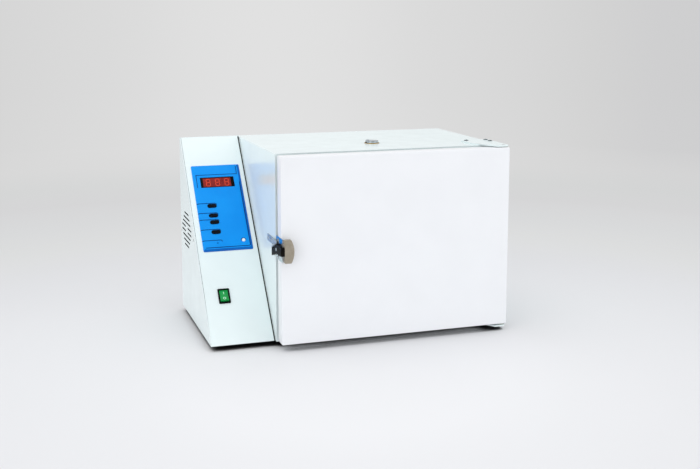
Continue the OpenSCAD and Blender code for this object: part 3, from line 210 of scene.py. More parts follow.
# Round copper wires under brown enamel
copper = layeredMetal("enamelledCopperWinding", "#93471f", "#b8673a", 8 * mm, 0.3, "Z", 0.6, 0.25 * mm)
brass = plainMetal("turnedBrass", "#b58f4c", "#cdaa66", 0.3)
wool = mineralWool("needledMineralWool")
ceramic = mouldedPlastic("glazedSteatiteCeramic", "#e6dfd0", "#f1ece1", 0.22)
silicone = mouldedPlastic("extrudedSiliconeRubber", "#d8d6cc", "#e4e1d8", 0.5)
lowGloss = {"Specular IOR Level": 0.2}
rubber = mouldedPlastic("mouldedBlackRubber", "#101111", "#191a1b", 0.7, 1 * mm, 0.05 * mm, lowGloss)
padFilm = printedFilm("screenPrintedPolyesterFilm", "#0690ec", "#0a96f0", 0.32)
# Dark blue for the printed lines, and for the painted shade along the rim's edge and over the lamp
inkAndShadeFilm = printedFilm("darkBlueInkAndPaintedShade", "#012a6b", "#023078", 0.4)
# A darker blue on the right and bottom rim, which face away from the light: painted shade
rimShadeFilm = printedFilm("paintedShadeBlueRim", "#0560b8", "#0668c0", 0.4)
windowFilm = mouldedPlastic("tintedAcrylicFrame", "#060506", "#0b090a", 0.15, look=lowGloss)
redField = mouldedPlastic("litRedAcrylic", "#7c0f08", "#8c130a", 0.3, look={
    "Emission Color": "#c81c0c", "Emission Strength": 0.06})
redSegments = mouldedPlastic("litRedSegments", "#c23a22", "#cc442a", 0.35, look={
    "Emission Color": "#ff4a2c", "Emission Strength": 0.34})
blackPlastic = mouldedPlastic("mouldedBlackAbs", "#08090a", "#0c0e0f", 0.42, look={"Specular IOR Level": 0.1})
navyPlastic = mouldedPlastic("mouldedNavyKeycap", "#030610", "#060b1b", 0.36, look=lowGloss)
taupePlastic = mouldedPlastic("mouldedTaupePhenolic", "#8d8574", "#9d9485", 0.42, 0.9 * mm, 0.012 * mm)
greenPlastic = mouldedPlastic("translucentGreenPolycarbonate", "#058a3c", "#0c9a48", 0.16, look={
    "Emission Color": "#0aa348", "Emission Strength": 0.05})
markPaint = mouldedPlastic("padPrintedPaleMarks", "#b4f0cc", "#c0f5d6", 0.35)
lampPlastic = mouldedPlastic("frostedWhiteAcrylic", "#f2f7fa", "#fafcfd", 0.2)
boardLaminate = mouldedPlastic("solderMaskedLaminate", "#1f5e3c", "#2a7049", 0.32)
palePlastic = mouldedPlastic("mouldedPalePolyamide", "#cbccc6", "#dadbd5", 0.45)
print("materials made")


# A node's name as a piece's name: door_shell becomes doorShell
def pieceName(node):
    first, *rest = node.split("_")
    return first + "".join(word.capitalize() for word in rest)


def bodyOf(node):
    return next(b for b, members in frame["record"]["behaviour"]["bodies"].items() if node in members)


# Joins up the triangles of each flat face
def joinFlat(shape):
    bmesh.ops.dissolve_limit(shape, angle_limit=math.radians(0.6), verts=shape.verts, edges=shape.edges)


# A node's solid with its doubled corners merged
def cleanCopy(node):
    shape = bmesh.new()
    shape.from_mesh(nodes[node].data)
    bmesh.ops.remove_doubles(shape, verts=shape.verts, dist=0.002 * mm)
    joinFlat(shape)
    for face in shape.faces:
        face.material_index = 0
    return shape


# The loose parts of a mesh, each as its faces and the two corners of its box
def looseParts(shape):
    left, parts = set(shape.faces), []
    while left:
        group = [left.pop()]
        for face in group:
            for edge in face.edges:
                for other in edge.link_faces:
                    if other in left:
                        left.remove(other)
                        group.append(other)
        points = [v.co for f in group for v in f.verts]
        parts.append((group, Vector([min(p[i] for p in points) for i in range(3)]),
                      Vector([max(p[i] for p in points) for i in range(3)])))
    return parts


# Rounds the edges of which both ends and the edge itself pass their tests
def roundEdges(shape, test, radius, wanted=lambda edge: edge.calc_face_angle() > 0.5):
    edges = [e for e in shape.edges
             if len(e.link_faces) == 2 and wanted(e) and all(test(v.co) for v in e.verts)]
    bmesh.ops.bevel(shape, geom=edges, offset=radius, segments=4, profile=0.5, affect="EDGES",
                    clamp_overlap=True)


sharpAngle = math.radians(32)  # edges turned by more than this stay crisp


def toObject(name, shape):
    mesh = bpy.data.meshes.new(name)
    shape.to_mesh(mesh)
    shape.free()
    thing = bpy.data.objects.new(name, mesh)
    scene.collection.objects.link(thing)
    return thing


# Turns a finished mesh into a piece of the object: material, body and the nodes it stands for
def makePiece(name, shape, materials, body, replaced=(), edge=0.0, segments=2):
    bmesh.ops.recalc_face_normals(shape, faces=shape.faces)
    piece = toObject(name, shape)
    mesh = piece.data
    if "custom_normal" in mesh.attributes:
        mesh.attributes.remove(mesh.attributes["custom_normal"])
    mesh.shade_smooth()
    mesh.set_sharp_from_angle(angle=sharpAngle)
    for material in materials:
        mesh.materials.append(material)
    if edge > 0:
        bevel = piece.modifiers.new("softEdges", "BEVEL")
        bevel.width = edge
        bevel.segments = segments
        bevel.limit_method = "ANGLE"
        bevel.angle_limit = sharpAngle
        bevel.harden_normals = True
    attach(piece, body)
    if replaced:
        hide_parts(*replaced)
    return piece


# A node's own shape with soft edges and a finish; change(shape) may work on the mesh first
def dress(node, materials, edge=0.4, change=None, segments=2):
    shape = cleanCopy(node)
    shape = (change(shape) or shape) if change else shape
    return makePiece(pieceName(node), shape, materials, bodyOf(node), (node,), edge * mm, segments)


# The shape with the cutter taken away from it
def carved(shape, cutter):
    block, tool = toObject("carving", shape), toObject("carving", cutter)
    cut = block.modifiers.new("cut", "BOOLEAN")
    cut.operation = "DIFFERENCE"
    cut.solver = "EXACT"
    cut.object = tool
    result = bmesh.new()
    result.from_object(block, bpy.context.evaluated_depsgraph_get())
    for thing in (block, tool):
        bpy.data.objects.remove(thing)
    joinFlat(result)
    return result


# A straight prism on a flat outline, from one height to another
def prism(shape, outline, low, high, matrix=Matrix(), material=0):
    rings = [[shape.verts.new(matrix @ Vector((x, y, z))) for x, y in outline] for z in (low, high)]
    faces = [shape.faces.new(rings[0][::-1]), shape.faces.new(rings[1])]
    for i in range(len(outline)):
        j = (i + 1) % len(outline)
        faces.append(shape.faces.new((rings[0][i], rings[0][j], rings[1][j], rings[1][i])))
    for face in faces:
        face.material_index = material


# A closed frame between two outlines that have the same number of points
def frameRing(shape, outer, inner, low, high, matrix=Matrix(), material=0):
    loops = [[shape.verts.new(matrix @ Vector((x, y, z))) for x, y in line]
             for line, z in ((outer, low), (outer, high), (inner, high), (inner, low))]
    for k in range(4):
        for i in range(len(outer)):
            j = (i + 1) % len(outer)
            a, b = loops[k], loops[(k + 1) % 4]
            shape.faces.new((a[i], a[j], b[j], b[i])).material_index = material


# A turned part: its profile is a list of (radius, height), closed on the axis where the radius is 0
def lathe(shape, profile, matrix=Matrix(), steps=32, material=0):
    rings = []
    for radius, height in profile:
        turns = [2 * math.pi * k / steps for k in range(steps)] if radius > 0 else [0.0]
        rings.append([shape.verts.new(matrix @ Vector((radius * math.cos(a), radius * math.sin(a), height)))
                      for a in turns])
    for a, b in zip(rings, rings[1:]):
        for k in range(steps):
            j = (k + 1) % steps
            corners = [a[k % len(a)], a[j % len(a)], b[j % len(b)], b[k % len(b)]]
            face = shape.faces.new([v for i, v in enumerate(corners) if v not in corners[:i]])
            face.material_index = material


# A flat raised line of even width along a path of points
def ribbon(shape, path, width, low, high, matrix=Matrix(), material=0):
    sides = []
    for i, point in enumerate(path):
        before, after = Vector(path[max(i - 1, 0)]), Vector(path[min(i + 1, len(path) - 1)])
        ahead = (after - before).normalized()
        out = Vector((-ahead.y, ahead.x)) * width / 2
        sides.append((Vector(point) + out, Vector(point) - out))
    outline = [s[0] for s in sides] + [s[1] for s in reversed(sides)]
    prism(shape, [(p.x, p.y) for p in outline], low, high, matrix, material)


def rectangle(width, height, x=0.0, y=0.0):
    w, h = width / 2, height / 2
    return [(x - w, y - h), (x + w, y - h), (x + w, y + h), (x - w, y + h)]


def roundedRect(width, height, radius, centre=(0, 0), steps=5):
    points = []
    for k, (sx, sy) in enumerate(((1, 1), (-1, 1), (-1, -1), (1, -1))):
        for i in range(steps + 1):
            a = math.pi / 2 * (k + i / steps)
            points.append((centre[0] + sx * (width / 2 - radius) + radius * math.cos(a),
                           centre[1] + sy * (height / 2 - radius) + radius * math.sin(a)))
    return points


def arcPoints(centre, radius, start, end, steps=8):
    return [(centre[0] + radius * math.cos(math.radians(start + (end - start) * i / steps)),
             centre[1] + radius * math.sin(math.radians(start + (end - start) * i / steps)))
            for i in range(steps + 1)]


# Cuts a cross recess into screw heads: each place is a point on the head's top and the way that it faces
def crossRecess(shape, places, width, length, depth, turned=0.5):
    w, l = width / 2, length / 2
    plus = [(w, w), (w, l), (-w, l), (-w, w), (-l, w), (-l, -w),
            (-w, -w), (-w, -l), (w, -l), (w, -w), (l, -w), (l, w)]
    cutter = bmesh.new()
    for point, facing in places:
        turn = Vector(facing).to_track_quat("Z", "Y").to_matrix().to_4x4()
        prism(cutter, plus, -depth, depth, Matrix.Translation(point) @ turn @ Matrix.Rotation(turned, 4, "Z"))
    return carved(shape, cutter)


# The slanted cover's own frame: x across, y up the slope, z out of it, from the cover's lower left corner
slopeLook = {"topStrip": 10 * mm}  # depth of the level strip behind the slanted face's top edge
sideLow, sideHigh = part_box("control_side_panel")
sheet = sideHigh.x - sideLow.x
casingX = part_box("cabinet_shell")[0].x
slopeVector = Vector((0, sideHigh.y + sheet - slopeLook["topStrip"] - sideLow.y, sideHigh.z - sideLow.z))
slopeUp = slopeVector.normalized()
slopeOut = Vector((1, 0, 0)).cross(slopeUp)


def slopeFrame(x, s, n=0.0):
    corner = Vector((sideLow.x + x, sideLow.y, sideLow.z)) + slopeUp * s + slopeOut * n
    return Matrix.Translation(corner) @ Matrix(((1, 0, 0), slopeUp, slopeOut)).transposed().to_4x4()


# Casing: folded sheet with soft corners, and a black strip as painted shade in the joint where the slanted
# cover meets the cabinet
casingLook = {"edge": 0.6, "foldRadius": 1.6 * mm, "seam": 2.8 * mm, "joint": 0.7 * mm, "sealTop": 1.3 * mm,
              "shadeStripFoot": 4.6 * mm, "rimInset": 8 * mm, "innerDepth": 90 * mm, "flat": 0.95,
              "cutsAcross": (43.7, 70.0), "cutsUp": (112.3, 331.5)}  # cuts in mm on the slanted face


# Cuts faces along planes, so that none of them bends round an opening
def splitFaces(shape, planes):
    for place, way in planes:
        geometry = list(shape.verts) + list(shape.edges) + list(shape.faces)
        bmesh.ops.bisect_plane(shape, geom=geometry, plane_co=place, plane_no=way)


def openSeam(shape):
    splitFaces(shape, [(slopeFrame(x * mm, 0).translation, (1, 0, 0)) for x in casingLook["cutsAcross"]]
               + [(slopeFrame(0, s * mm).translation, slopeUp) for s in casingLook["cutsUp"]])
    roundEdges(shape, lambda p: p.z > sideHigh.z - 0.1 * mm and p.y < sideHigh.y - 1 * mm,
               casingLook["foldRadius"])
    for vert in shape.verts:
        if vert.co.x > casingX - 0.1 * mm:
            vert.co.x = casingX - casingLook["seam"]
        elif vert.co.x < sideHigh.x + 0.5 * mm and vert.co.z > sideLow.z + 3 * mm:
            vert.co.x = sideHigh.x + casingLook["joint"]
    primeInside(shape)


# The inside and the underside of the casing's sheets are painted near-black as painted shade, so gaps and
# slots look dark
def primeInside(shape):
    flat = casingLook["flat"]
    middle = Vector(((sideLow.x + casingX) / 2, (sideLow.y + sideHigh.y) / 2 + casingLook["innerDepth"],
                     (sideLow.z + sideHigh.z) / 2))
    shape.normal_update()
    for face in shape.faces:
        inward = middle - face.calc_center_median()
        hidden = any(abs(face.normal[i]) > flat and face.normal[i] * inward[i] > 0 for i in (0, 1, 2))
        if hidden or face.normal.dot(slopeOut) < -flat or face.normal.z < -flat:
            face.material_index = 1


def primeUnderside(shape):
    shape.normal_update()
    for face in shape.faces:
        if face.normal.z < -casingLook["flat"]:
            face.material_index = 1


# Cuts the folded sheet's arch-shaped rims into straight runs and corners
def splitRims(shape):
    low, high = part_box("cabinet_shell")
    inset = casingLook["rimInset"]
    splitFaces(shape, (((low.x + inset, 0, 0), (1, 0, 0)), ((high.x - inset, 0, 0), (1, 0, 0)),
                       ((0, 0, high.z - inset), (0, 0, 1))))


# A black rubber strip in the joint between the slanted cover and the cabinet, just below the cover's face:
# painted shade for the gap
def makeSeal():
    shape = bmesh.new()
    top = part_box("control_cover")[1]
    rings = []
    for depth in (casingLook["sealTop"], casingLook["shadeStripFoot"]):
        foot = slopeFrame(0, 1 * mm, -depth).translation
        bend = foot + slopeUp * ((top.z - depth - foot.z) / slopeUp.z)
        rings.append([foot, bend, Vector((0, top.y - 2 * mm, top.z - depth))])
    outline = [(p.y, p.z) for p in rings[0]] + [(p.y, p.z) for p in reversed(rings[1])]
    along = Matrix(((0, 0, 1, 0), (1, 0, 0, 0), (0, 1, 0, 0), (0, 0, 0, 1)))
    prism(shape, outline, casingX - casingLook["seam"] - 0.1 * mm, casingX, along)
    return makePiece("coverEdgeShadeStrip", shape, [rubber], "cabinet")


# Screws of the left side panel: their places are in mm from the middle of the vent slots
sideScrews = {"places": ((-84, -8), (67, -13)), "head": 3.6 * mm, "sink": 1.2 * mm, "shank": 1.9 * mm,
              "hole": 2.2 * mm, "length": 4 * mm, "cross": (1.1 * mm, 4.4 * mm, 0.9 * mm)}
ventLook = {"fromBack": 76 * mm, "up": 196 * mm, "reach": 80 * mm, "screwHole": 5 * mm}
ventMiddle = Vector((sideLow.x, sideHigh.y + sheet - ventLook["fromBack"], sideLow.z + ventLook["up"]))
faceLeft = Matrix.Rotation(-math.pi / 2, 4, "Y")


def sideScrewPlaces():
    return [ventMiddle + Vector((0, y * mm, z * mm)) for y, z in sideScrews["places"]]


# Countersinks for the screws, and the vent slots' cut walls painted near-black as painted shade
def countersink(shape):
    cutter = bmesh.new()
    wide, hole = sideScrews["head"] + 0.1 * mm, sideScrews["hole"]
    for point in sideScrewPlaces():
        lathe(cutter, [(0, -2 * sheet), (hole, -2 * sheet), (hole, -sideScrews["sink"]), (wide, 0),
                       (wide, sheet), (0, sheet)], Matrix.Translation(point) @ faceLeft)
    shape = carved(shape, cutter)
    primeInside(shape)
    for face in shape.faces:
        centre = face.calc_center_median()
        ofScrew = any((centre - p).length <= ventLook["screwHole"] for p in sideScrewPlaces())
        if abs(face.normal.x) < 0.5 and not ofScrew and (centre - ventMiddle).length < ventLook["reach"]:
            face.material_index = 1
    return shape


def makeSideScrews():
    shape, look = bmesh.new(), sideScrews
    r, shank, foot = look["head"], look["shank"], -look["length"]
    for point in sideScrewPlaces():
        lathe(shape, [(0, foot), (shank, foot), (shank, -look["sink"]), (r, -0.15 * mm), (r - 0.2 * mm, 0),
                      (r * 0.6, 0), (0, 0)], Matrix.Translation(point) @ faceLeft)
    shape = crossRecess(shape, [(p, (-1, 0, 0)) for p in sideScrewPlaces()], *look["cross"])
    return makePiece("casingSideScrews", shape, [brightSteel], "cabinet", edge=0.1 * mm)


dress("cabinet_shell", [casingPaint], casingLook["edge"], splitRims)
dress("control_side_panel", [casingPaint, shadeBlackSteel], casingLook["edge"], countersink)
dress("control_cover", [casingPaint, shadeBlackSteel], casingLook["edge"], openSeam)
makeSeal()
makeSideScrews()
dress("front_frame", [casingPaint])
for node in ("base_pan", "control_floor"):
    dress(node, [casingPaint, shadeBlackSteel], 0.4, primeUnderside)
dress("feet", [rubber], 0.8)
print("casing made")

# Back panel: pressed sheet with cross-recess screws
backLook = {"head": 10 * mm, "cross": (1.1 * mm, 4.4 * mm, 0.9 * mm)}


def finishBack(shape):
    tops = []
    for group, low, high in looseParts(shape):
        if high.x - low.x < backLook["head"]:
            for face in group:
                face.material_index = 1
            tops.append((Vector(((low.x + high.x) / 2, high.y, (low.z + high.z) / 2)), (0, 1, 0)))
    return crossRecess(shape, tops, *backLook["cross"])


dress("back_panel", [casingPaint, brightSteel], 0.3, finishBack)

# Mains inlet: a flanged socket with two slanted corners and three flat pins; sizes in millimetres
inletLook = {"socket": (24.2, 16.4), "corner": 4.2, "deep": 15.5, "pins": ((-7, -2), (7, -2), (0, 2.2)),
             "pin": (2.0, 4.0), "pinLength": 10.5, "screwSpan": 20.0, "screwRise": 1.2, "screwSize": 20.0,
             "cross": (0.9, 3.4, 0.7), "plainPins": (25.0, 9.0)}


# The solid's plain pins go, and the socket is carved out and gets flat ones
def makeInlet():
    look, shape = inletLook, cleanCopy("mains_inlet")
    body = max(looseParts(shape), key=lambda part: (part[2] - part[1]).length)
    middle = (body[1] + body[2]) / 2
    face = middle.copy()
    face.y = body[2].y
    longest, nearby = (v * mm for v in look["plainPins"])
    spare = [g for g, a, b in looseParts(shape)
             if (b - a).length < longest and abs(((a + b) / 2).x - middle.x) < nearby]
    bmesh.ops.delete(shape, geom=[f for g in spare for f in g], context="FACES")
    w, h = (v / 2 * mm for v in look["socket"])
    c = look["corner"] * mm
    outline = [(-w, -h), (w, -h), (w, h - c), (w - c, h), (-w + c, h), (-w, h - c)]
    seat = Matrix.Translation(face) @ Matrix.Rotation(-math.pi / 2, 4, "X") @ Matrix.Rotation(math.pi, 4, "Z")
    floor, tips = -look["deep"] * mm, (look["pinLength"] - look["deep"]) * mm
    cutter = bmesh.new()
    prism(cutter, outline, floor, 2 * mm, seat)
    shape = carved(shape, cutter)
    wide, high = (v * mm for v in look["pin"])
    for x, z in look["pins"]:
        prism(shape, rectangle(wide, high, x * mm, z * mm), floor, tips, seat, 1)
    for group, a, b in looseParts(shape):
        if b.y > face.y + 0.3 * mm and (b - a).length < look["screwSize"] * mm:
            for f in group:
                f.material_index = 1
    span, rise = look["screwSpan"] * mm, look["screwRise"] * mm
    screws = [(face + Vector((x, rise, 0)), (0, 1, 0)) for x in (-span, span)]
    shape = crossRecess(shape, screws, *(v * mm for v in look["cross"]))
    return makePiece("mainsInlet", shape, [blackPlastic, brightSteel], "cabinet",
                     ("mains_inlet",), 0.25 * mm)


fuseLook = {"slot": (10 * mm, 1.4 * mm), "depth": 1.6 * mm}  # the screwdriver slot in each cap


def slotFuseCaps(shape):
    low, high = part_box("fuse_holders")
    middles = sorted({round((a + b).x / 2, 5) for group, a, b in looseParts(shape)})
    cutter = bmesh.new()
    for x in middles:
        seat = Matrix.Translation((x, high.y, (low.z + high.z) / 2)) @ Matrix.Rotation(-math.pi / 2, 4, "X")
        prism(cutter, rectangle(*fuseLook["slot"]), -fuseLook["depth"], 1 * mm, seat)
    return carved(shape, cutter)


makeInlet()
dress("fuse_holders", [blackPlastic], 0.4, slotFuseCaps)
print("back made")

# Door: a folded pan with soft outer edges, a pressed inner sheet and a silicone gasket
doorLook = {"foldRadius": 2.2 * mm, "pressRadius": 4 * mm, "gasketWidth": 12 * mm, "gasketIn": 4 * mm,
            "gasketLip": 2.2 * mm, "bulb": 5.3 * mm}


def foldDoor(shape):
    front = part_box("door_shell")[0].y
    roundEdges(shape, lambda p: p.y < front + 0.1 * mm, doorLook["foldRadius"])


def pressSheet(shape):
    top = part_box("door_inner_panel")[1].y
    roundEdges(shape, lambda p: p.y > top - 0.1 * mm, doorLook["pressRadius"])


# The gasket cut across: a flat foot with a round bulb on it
def gasketProfile():
    width, lip, bulb = doorLook["gasketWidth"], doorLook["gasketLip"], doorLook["bulb"]
    low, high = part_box("door_gasket")
    line = [(0, 0), (width, 0), (width, lip)]
    line += arcPoints((width / 2, high.y - low.y - bulb), bulb, -50, 230, 20)
    return line + [(0, lip)]


def makeGasket():
    low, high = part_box("door_gasket")
    inner = doorLook["gasketWidth"]
    width, height = high.x - low.x - 2 * inner, high.z - low.z - 2 * inner
    centre = ((low.x + high.x) / 2, (low.z + high.z) / 2)
    base = roundedRect(width, height, doorLook["gasketIn"], centre, 6)
    far = roundedRect(width + 2, height + 2, doorLook["gasketIn"] + 1, centre, 6)
    shape = bmesh.new()
    rings = []
    for near, away in zip(base, far):
        out = Vector((away[0] - near[0], away[1] - near[1]))
        rings.append([shape.verts.new((near[0] + out.x * a, low.y + b, near[1] + out.y * a))
                      for a, b in gasketProfile()])
    for i, ring in enumerate(rings):
        after = rings[(i + 1) % len(rings)]
        for k in range(len(ring)):
            j = (k + 1) % len(ring)
            shape.faces.new((ring[k], ring[j], after[j], after[k]))
    return makePiece("doorGasket", shape, [silicone], "door", ("door_gasket",))


dress("door_shell", [doorPaint], 0.3, foldDoor)
dress("door_inner_panel", [linerSteel], 0.2, pressSheet)
dress("door_insulation", [wool], 1.5)
dress("door_bushes", [platedBrass], 0.3)
makeGasket()
print("door made")

# Hinges: painted plates with cross-recess screws, on bright pins
hingeLook = {"head": 12 * mm, "cross": (1.4 * mm, 6.6 * mm, 1.4 * mm)}


def finishHinges(shape):
    tops = []
    for group, low, high in looseParts(shape):
        if high.x - low.x < hingeLook["head"]:
            for face in group:
                face.material_index = 1
            above = high.z > sideHigh.z
            top = (low + high) / 2
            top.z = high.z if above else low.z
            tops.append((top, (0, 0, 1 if above else -1)))
    return crossRecess(shape, tops, *hingeLook["cross"])


dress("hinge_plates", [casingPaint, brightSteel], 0.7, finishHinges, 3)
dress("hinge_pins", [brightSteel], 0.6)
print("hinges made")

# Latch: plated plate and keeper, dark lever on its pin, and a moulded grip with soft edges
latchLook = {"gripEdge": 2.4 * mm, "softEdge": 1.0, "neckLength": 7.9 * mm, "neckHigh": 18 * mm,
             "neckSet": 0.4 * mm, "neckIn": 1 * mm, "cross": (1.0 * mm, 4.2 * mm, 0.8 * mm),
             "head": (6 * mm, 8 * mm), "screwLength": 9 * mm}


def crossHeads(shape):
    tops = []
    least, most = latchLook["head"]
    for group, low, high in looseParts(shape):
        size = high - low
        if least < size.y < most and size.z < most and size.x < latchLook["screwLength"]:
            tops.append((Vector((low.x, (low.y + high.y) / 2, (low.z + high.z) / 2)), (-1, 0, 0)))
    return crossRecess(shape, tops, *latchLook["cross"]) if tops else shape


# The grip's face without the steel neck, with soft edges all round its front
def softGrip(shape):
    low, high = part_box("latch_grip")
    face = low.x + latchLook["neckLength"]
    geometry = list(shape.verts) + list(shape.edges) + list(shape.faces)
    cut = bmesh.ops.bisect_plane(shape, geom=geometry, plane_co=(face, 0, 0), plane_no=(1, 0, 0),
                                 clear_inner=True)
    edges = [e for e in cut["geom_cut"] if isinstance(e, bmesh.types.BMEdge)]
    bmesh.ops.holes_fill(shape, edges=edges)
    joinFlat(shape)
    roundEdges(shape, lambda p: p.y < low.y + 0.1 * mm, latchLook["gripEdge"])


# The steel neck between the lever and the grip, set a little into the grip's face
def makeNeck():
    low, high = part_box("latch_grip")
    half, middle = latchLook["neckHigh"] / 2, (low.z + high.z) / 2
    front, back = low.y + latchLook["neckSet"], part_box("latch_lever")[0].y
    end = low.x + latchLook["neckLength"] + latchLook["neckIn"]
    shape = bmesh.new()
    prism(shape, [(low.x, front), (end, front), (end, back), (low.x, back)], middle - half, middle + half)
    return makePiece("latchNeck", shape, [darkSteel], "latch", edge=0.8 * mm)


dress("latch_base", [brightSteel], 0.25, crossHeads)
dress("latch_keeper", [zincSteel], 0.3, crossHeads)
dress("latch_lever", [darkSteel], 0.6)
dress("latch_grip", [taupePlastic], latchLook["softEdge"], softGrip, 3)
makeNeck()
print("latch made")

# Keypad: a raised panel under a printed film, with dark lines, four keys and a lamp, and painted shade along
# the right and bottom rim and over the lamp; sizes in millimetres
padLook = {"width": 111.2, "height": 222.0, "thick": 2.6, "rim": 5.5, "left": 14.4, "foot": 220.5,
           "lineWidth": 1.6, "lineHigh": 0.25, "shadeLineLow": 8.6, "shadeLineTop": 48, "bend": 3, "ringWidth": 1.2,
           "lampPlace": (92.2, 22.8), "lampRadius": 4.0, "leadRows": (120.8, 95.8, 78.8, 53.8, 26.5),
           "edgeHigh": 0.8, "rimSlope": math.atan2(1.8, 5.5)}
padCorner = (padLook["left"] * mm, padLook["foot"] * mm)


# A place on the keypad in millimetres: across, up and out
def padFrame(u=0.0, v=0.0, n=0.0):
    return slopeFrame(padCorner[0] + u * mm, padCorner[1] + v * mm, n * mm)


# The raised traces take the dark ink; the right and bottom rim take a darker blue as painted shade
def printPad(shape):
    origin = padFrame().translation
    for face in shape.faces:
        spot = face.calc_center_median() - origin
        height, across, along = spot.dot(slopeOut) / mm, spot.x / mm, spot.dot(slopeUp) / mm
        if height > padLook["thick"] + 0.05:
            face.material_index = 1
        elif height < padLook["thick"] - 0.05 and (across > padLook["width"] - padLook["rim"]
                                                   or along < padLook["rim"]):
            face.material_index = 2


# The dark line along the right and bottom rim and the arc over the lamp are painted shade; the short lines
# across the left rim are print
def makePadLines():
    shape = bmesh.new()
    look = padLook
    right, low, bend = look["width"] - look["rim"], look["shadeLineLow"], look["bend"]
    top, bottom = look["thick"] + look["lineHigh"], look["thick"] - 0.3
    scale = Matrix.Scale(mm, 4)
    border = [(right, look["height"] - look["shadeLineTop"]), (right, low + bend)]
    border += arcPoints((right - bend, low + bend), bend, 0, -90, 6) + [(look["rim"] + 1, low)]
    ribbon(shape, border, look["lineWidth"], bottom, top, padFrame() @ scale)
    ring = arcPoints(look["lampPlace"], look["lampRadius"] + 1.1, 10, 200, 18)
    ribbon(shape, ring, look["ringWidth"], bottom, top, padFrame() @ scale)
    for v in look["leadRows"]:
        slant = padFrame(0, v, look["edgeHigh"]) @ Matrix.Rotation(-look["rimSlope"], 4, "Y") @ scale
        ribbon(shape, [(0.5, 0), (look["rim"] + 0.9, 0)], look["lineWidth"], -0.3, look["lineHigh"], slant)
    return makePiece("keypadPrintedLines", shape, [inkAndShadeFilm], "cabinet", edge=0.08 * mm)


dress("keypad_panel", [padFilm, inkAndShadeFilm, rimShadeFilm], 0.15, printPad)
makePadLines()
for number in range(1, 5):
    dress("key_" + str(number), [navyPlastic], 0.7, segments=3)
dress("status_lamp", [lampPlastic], 0.3)
print("keypad made")

# Display: a dark frame round a red field with three lit figures; millimetres from the window's corner
displayLook = {"corner": (16.6, 162.4), "size": (77.0, 26.6), "back": 0.9, "field": 1.5, "front": 2.2,
               "border": (5.6, 1.8, 7.2, 1.6), "figures": 3, "figure": (10.0, 18.8), "stroke": 1.3,
               "first": 17.6, "pitch": 21.2}


# The seven strokes of one figure, each a bar with pointed ends, about the figure's middle
def figureStrokes(width, height, stroke):
    half, tip = stroke / 2, stroke * 0.35
    rows = (-(height - stroke) / 2, 0, (height - stroke) / 2)
    columns = (-(width - stroke) / 2, (width - stroke) / 2)
    reach = (width - stroke) / 2 - tip
    for y in rows:
        yield [(-reach, y), (-reach + half, y - half), (reach - half, y - half), (reach, y),
               (reach - half, y + half), (-reach + half, y + half)]
    for x in columns:
        for low, high in ((rows[0], rows[1]), (rows[1], rows[2])):
            yield [(x, low + tip), (x + half, low + tip + half), (x + half, high - tip - half),
                   (x, high - tip), (x - half, high - tip - half), (x - half, low + tip + half)]


def makeDisplay():
    look = displayLook
    (w, h), (left, low, right, top) = look["size"], look["border"]
    seat = padFrame(*look["corner"]) @ Matrix.Scale(mm, 4)
    outer = roundedRect(w, h, 0.8, (w / 2, h / 2))
    inner = roundedRect(w - left - right, h - low - top, 0.6, ((w + left - right) / 2, (h + low - top) / 2))
    shape = bmesh.new()
    prism(shape, outer, look["back"] - 0.1, look["field"] - 0.2, seat, 0)
    frameRing(shape, outer, inner, look["field"] - 0.2, look["front"], seat, 0)
    prism(shape, inner, look["field"] - 0.15, look["field"], seat, 1)
    for k in range(look["figures"]):
        place = seat @ Matrix.Translation((look["first"] + k * look["pitch"], h / 2, 0))
        for bar in figureStrokes(*look["figure"], look["stroke"]):
            prism(shape, bar, look["field"] - 0.05, look["field"] + 0.2, place, 2)
    return makePiece("displayWindow", shape, [windowFilm, redField, redSegments], "cabinet",
                     ("display_window",), 0.12 * mm)


makeDisplay()
dress("display_module", [blackPlastic], 0.2)
print("display made")

# Power switch: a glossy frame and a green rocker with a pale bar above and a pale ring below
rockerLook = {"middle": (43.7, 112.3), "depth": -3.0, "tilt": 8.0, "face": 4.0, "half": 13.0,
              "bar": (1.6, 5.6), "ring": 2.6, "ringWidth": 1.4, "markHigh": 0.2}


# The middle of the rocker's upper (side 1) or lower (side -1) face
def rockerFace(side):
    look = rockerLook
    tilt, reach = math.radians(look["tilt"]), look["half"] / 2
    x, s = (v * mm for v in look["middle"])
    return (slopeFrame(x, s, look["depth"] * mm) @ Matrix.Rotation(-tilt, 4, "X")
            @ Matrix.Translation((0, side * reach * mm, (look["face"] + reach * math.tan(tilt)) * mm))
            @ Matrix.Rotation(side * tilt, 4, "X") @ Matrix.Scale(mm, 4))


def makeRockerMarks():
    look, shape = rockerLook, bmesh.new()
    w, h = look["bar"]
    prism(shape, roundedRect(w, h, 0.6), -0.2, look["markHigh"], rockerFace(1))
    radii = [look["ring"] + side * look["ringWidth"] / 2 for side in (1, -1)]
    circles = [arcPoints((0, 0), radius, 0, 360, 28)[:-1] for radius in radii]
    frameRing(shape, *circles, -0.2, look["markHigh"], rockerFace(-1))
    return makePiece("rockerMarks", shape, [markPaint], "rocker", edge=0.06 * mm)


dress("rocker_housing", [blackPlastic], 0.7, segments=3)
dress("rocker_key", [greenPlastic], 0.6, segments=3)
makeRockerMarks()
print("switch made")

# Vent: turned brass collar and plated cap on a steel tube
dress("vent_tube", [linerSteel], 0.15)
dress("vent_collar", [brass], 0.15)
dress("vent_cap", [brightSteel], 0.3)

# Chamber: a stainless box with pressed corners, rails, wire shelves and the air baffle
chamberLook = {"corner": 2.4 * mm, "rim": 13 * mm, "longEdge": 60 * mm}


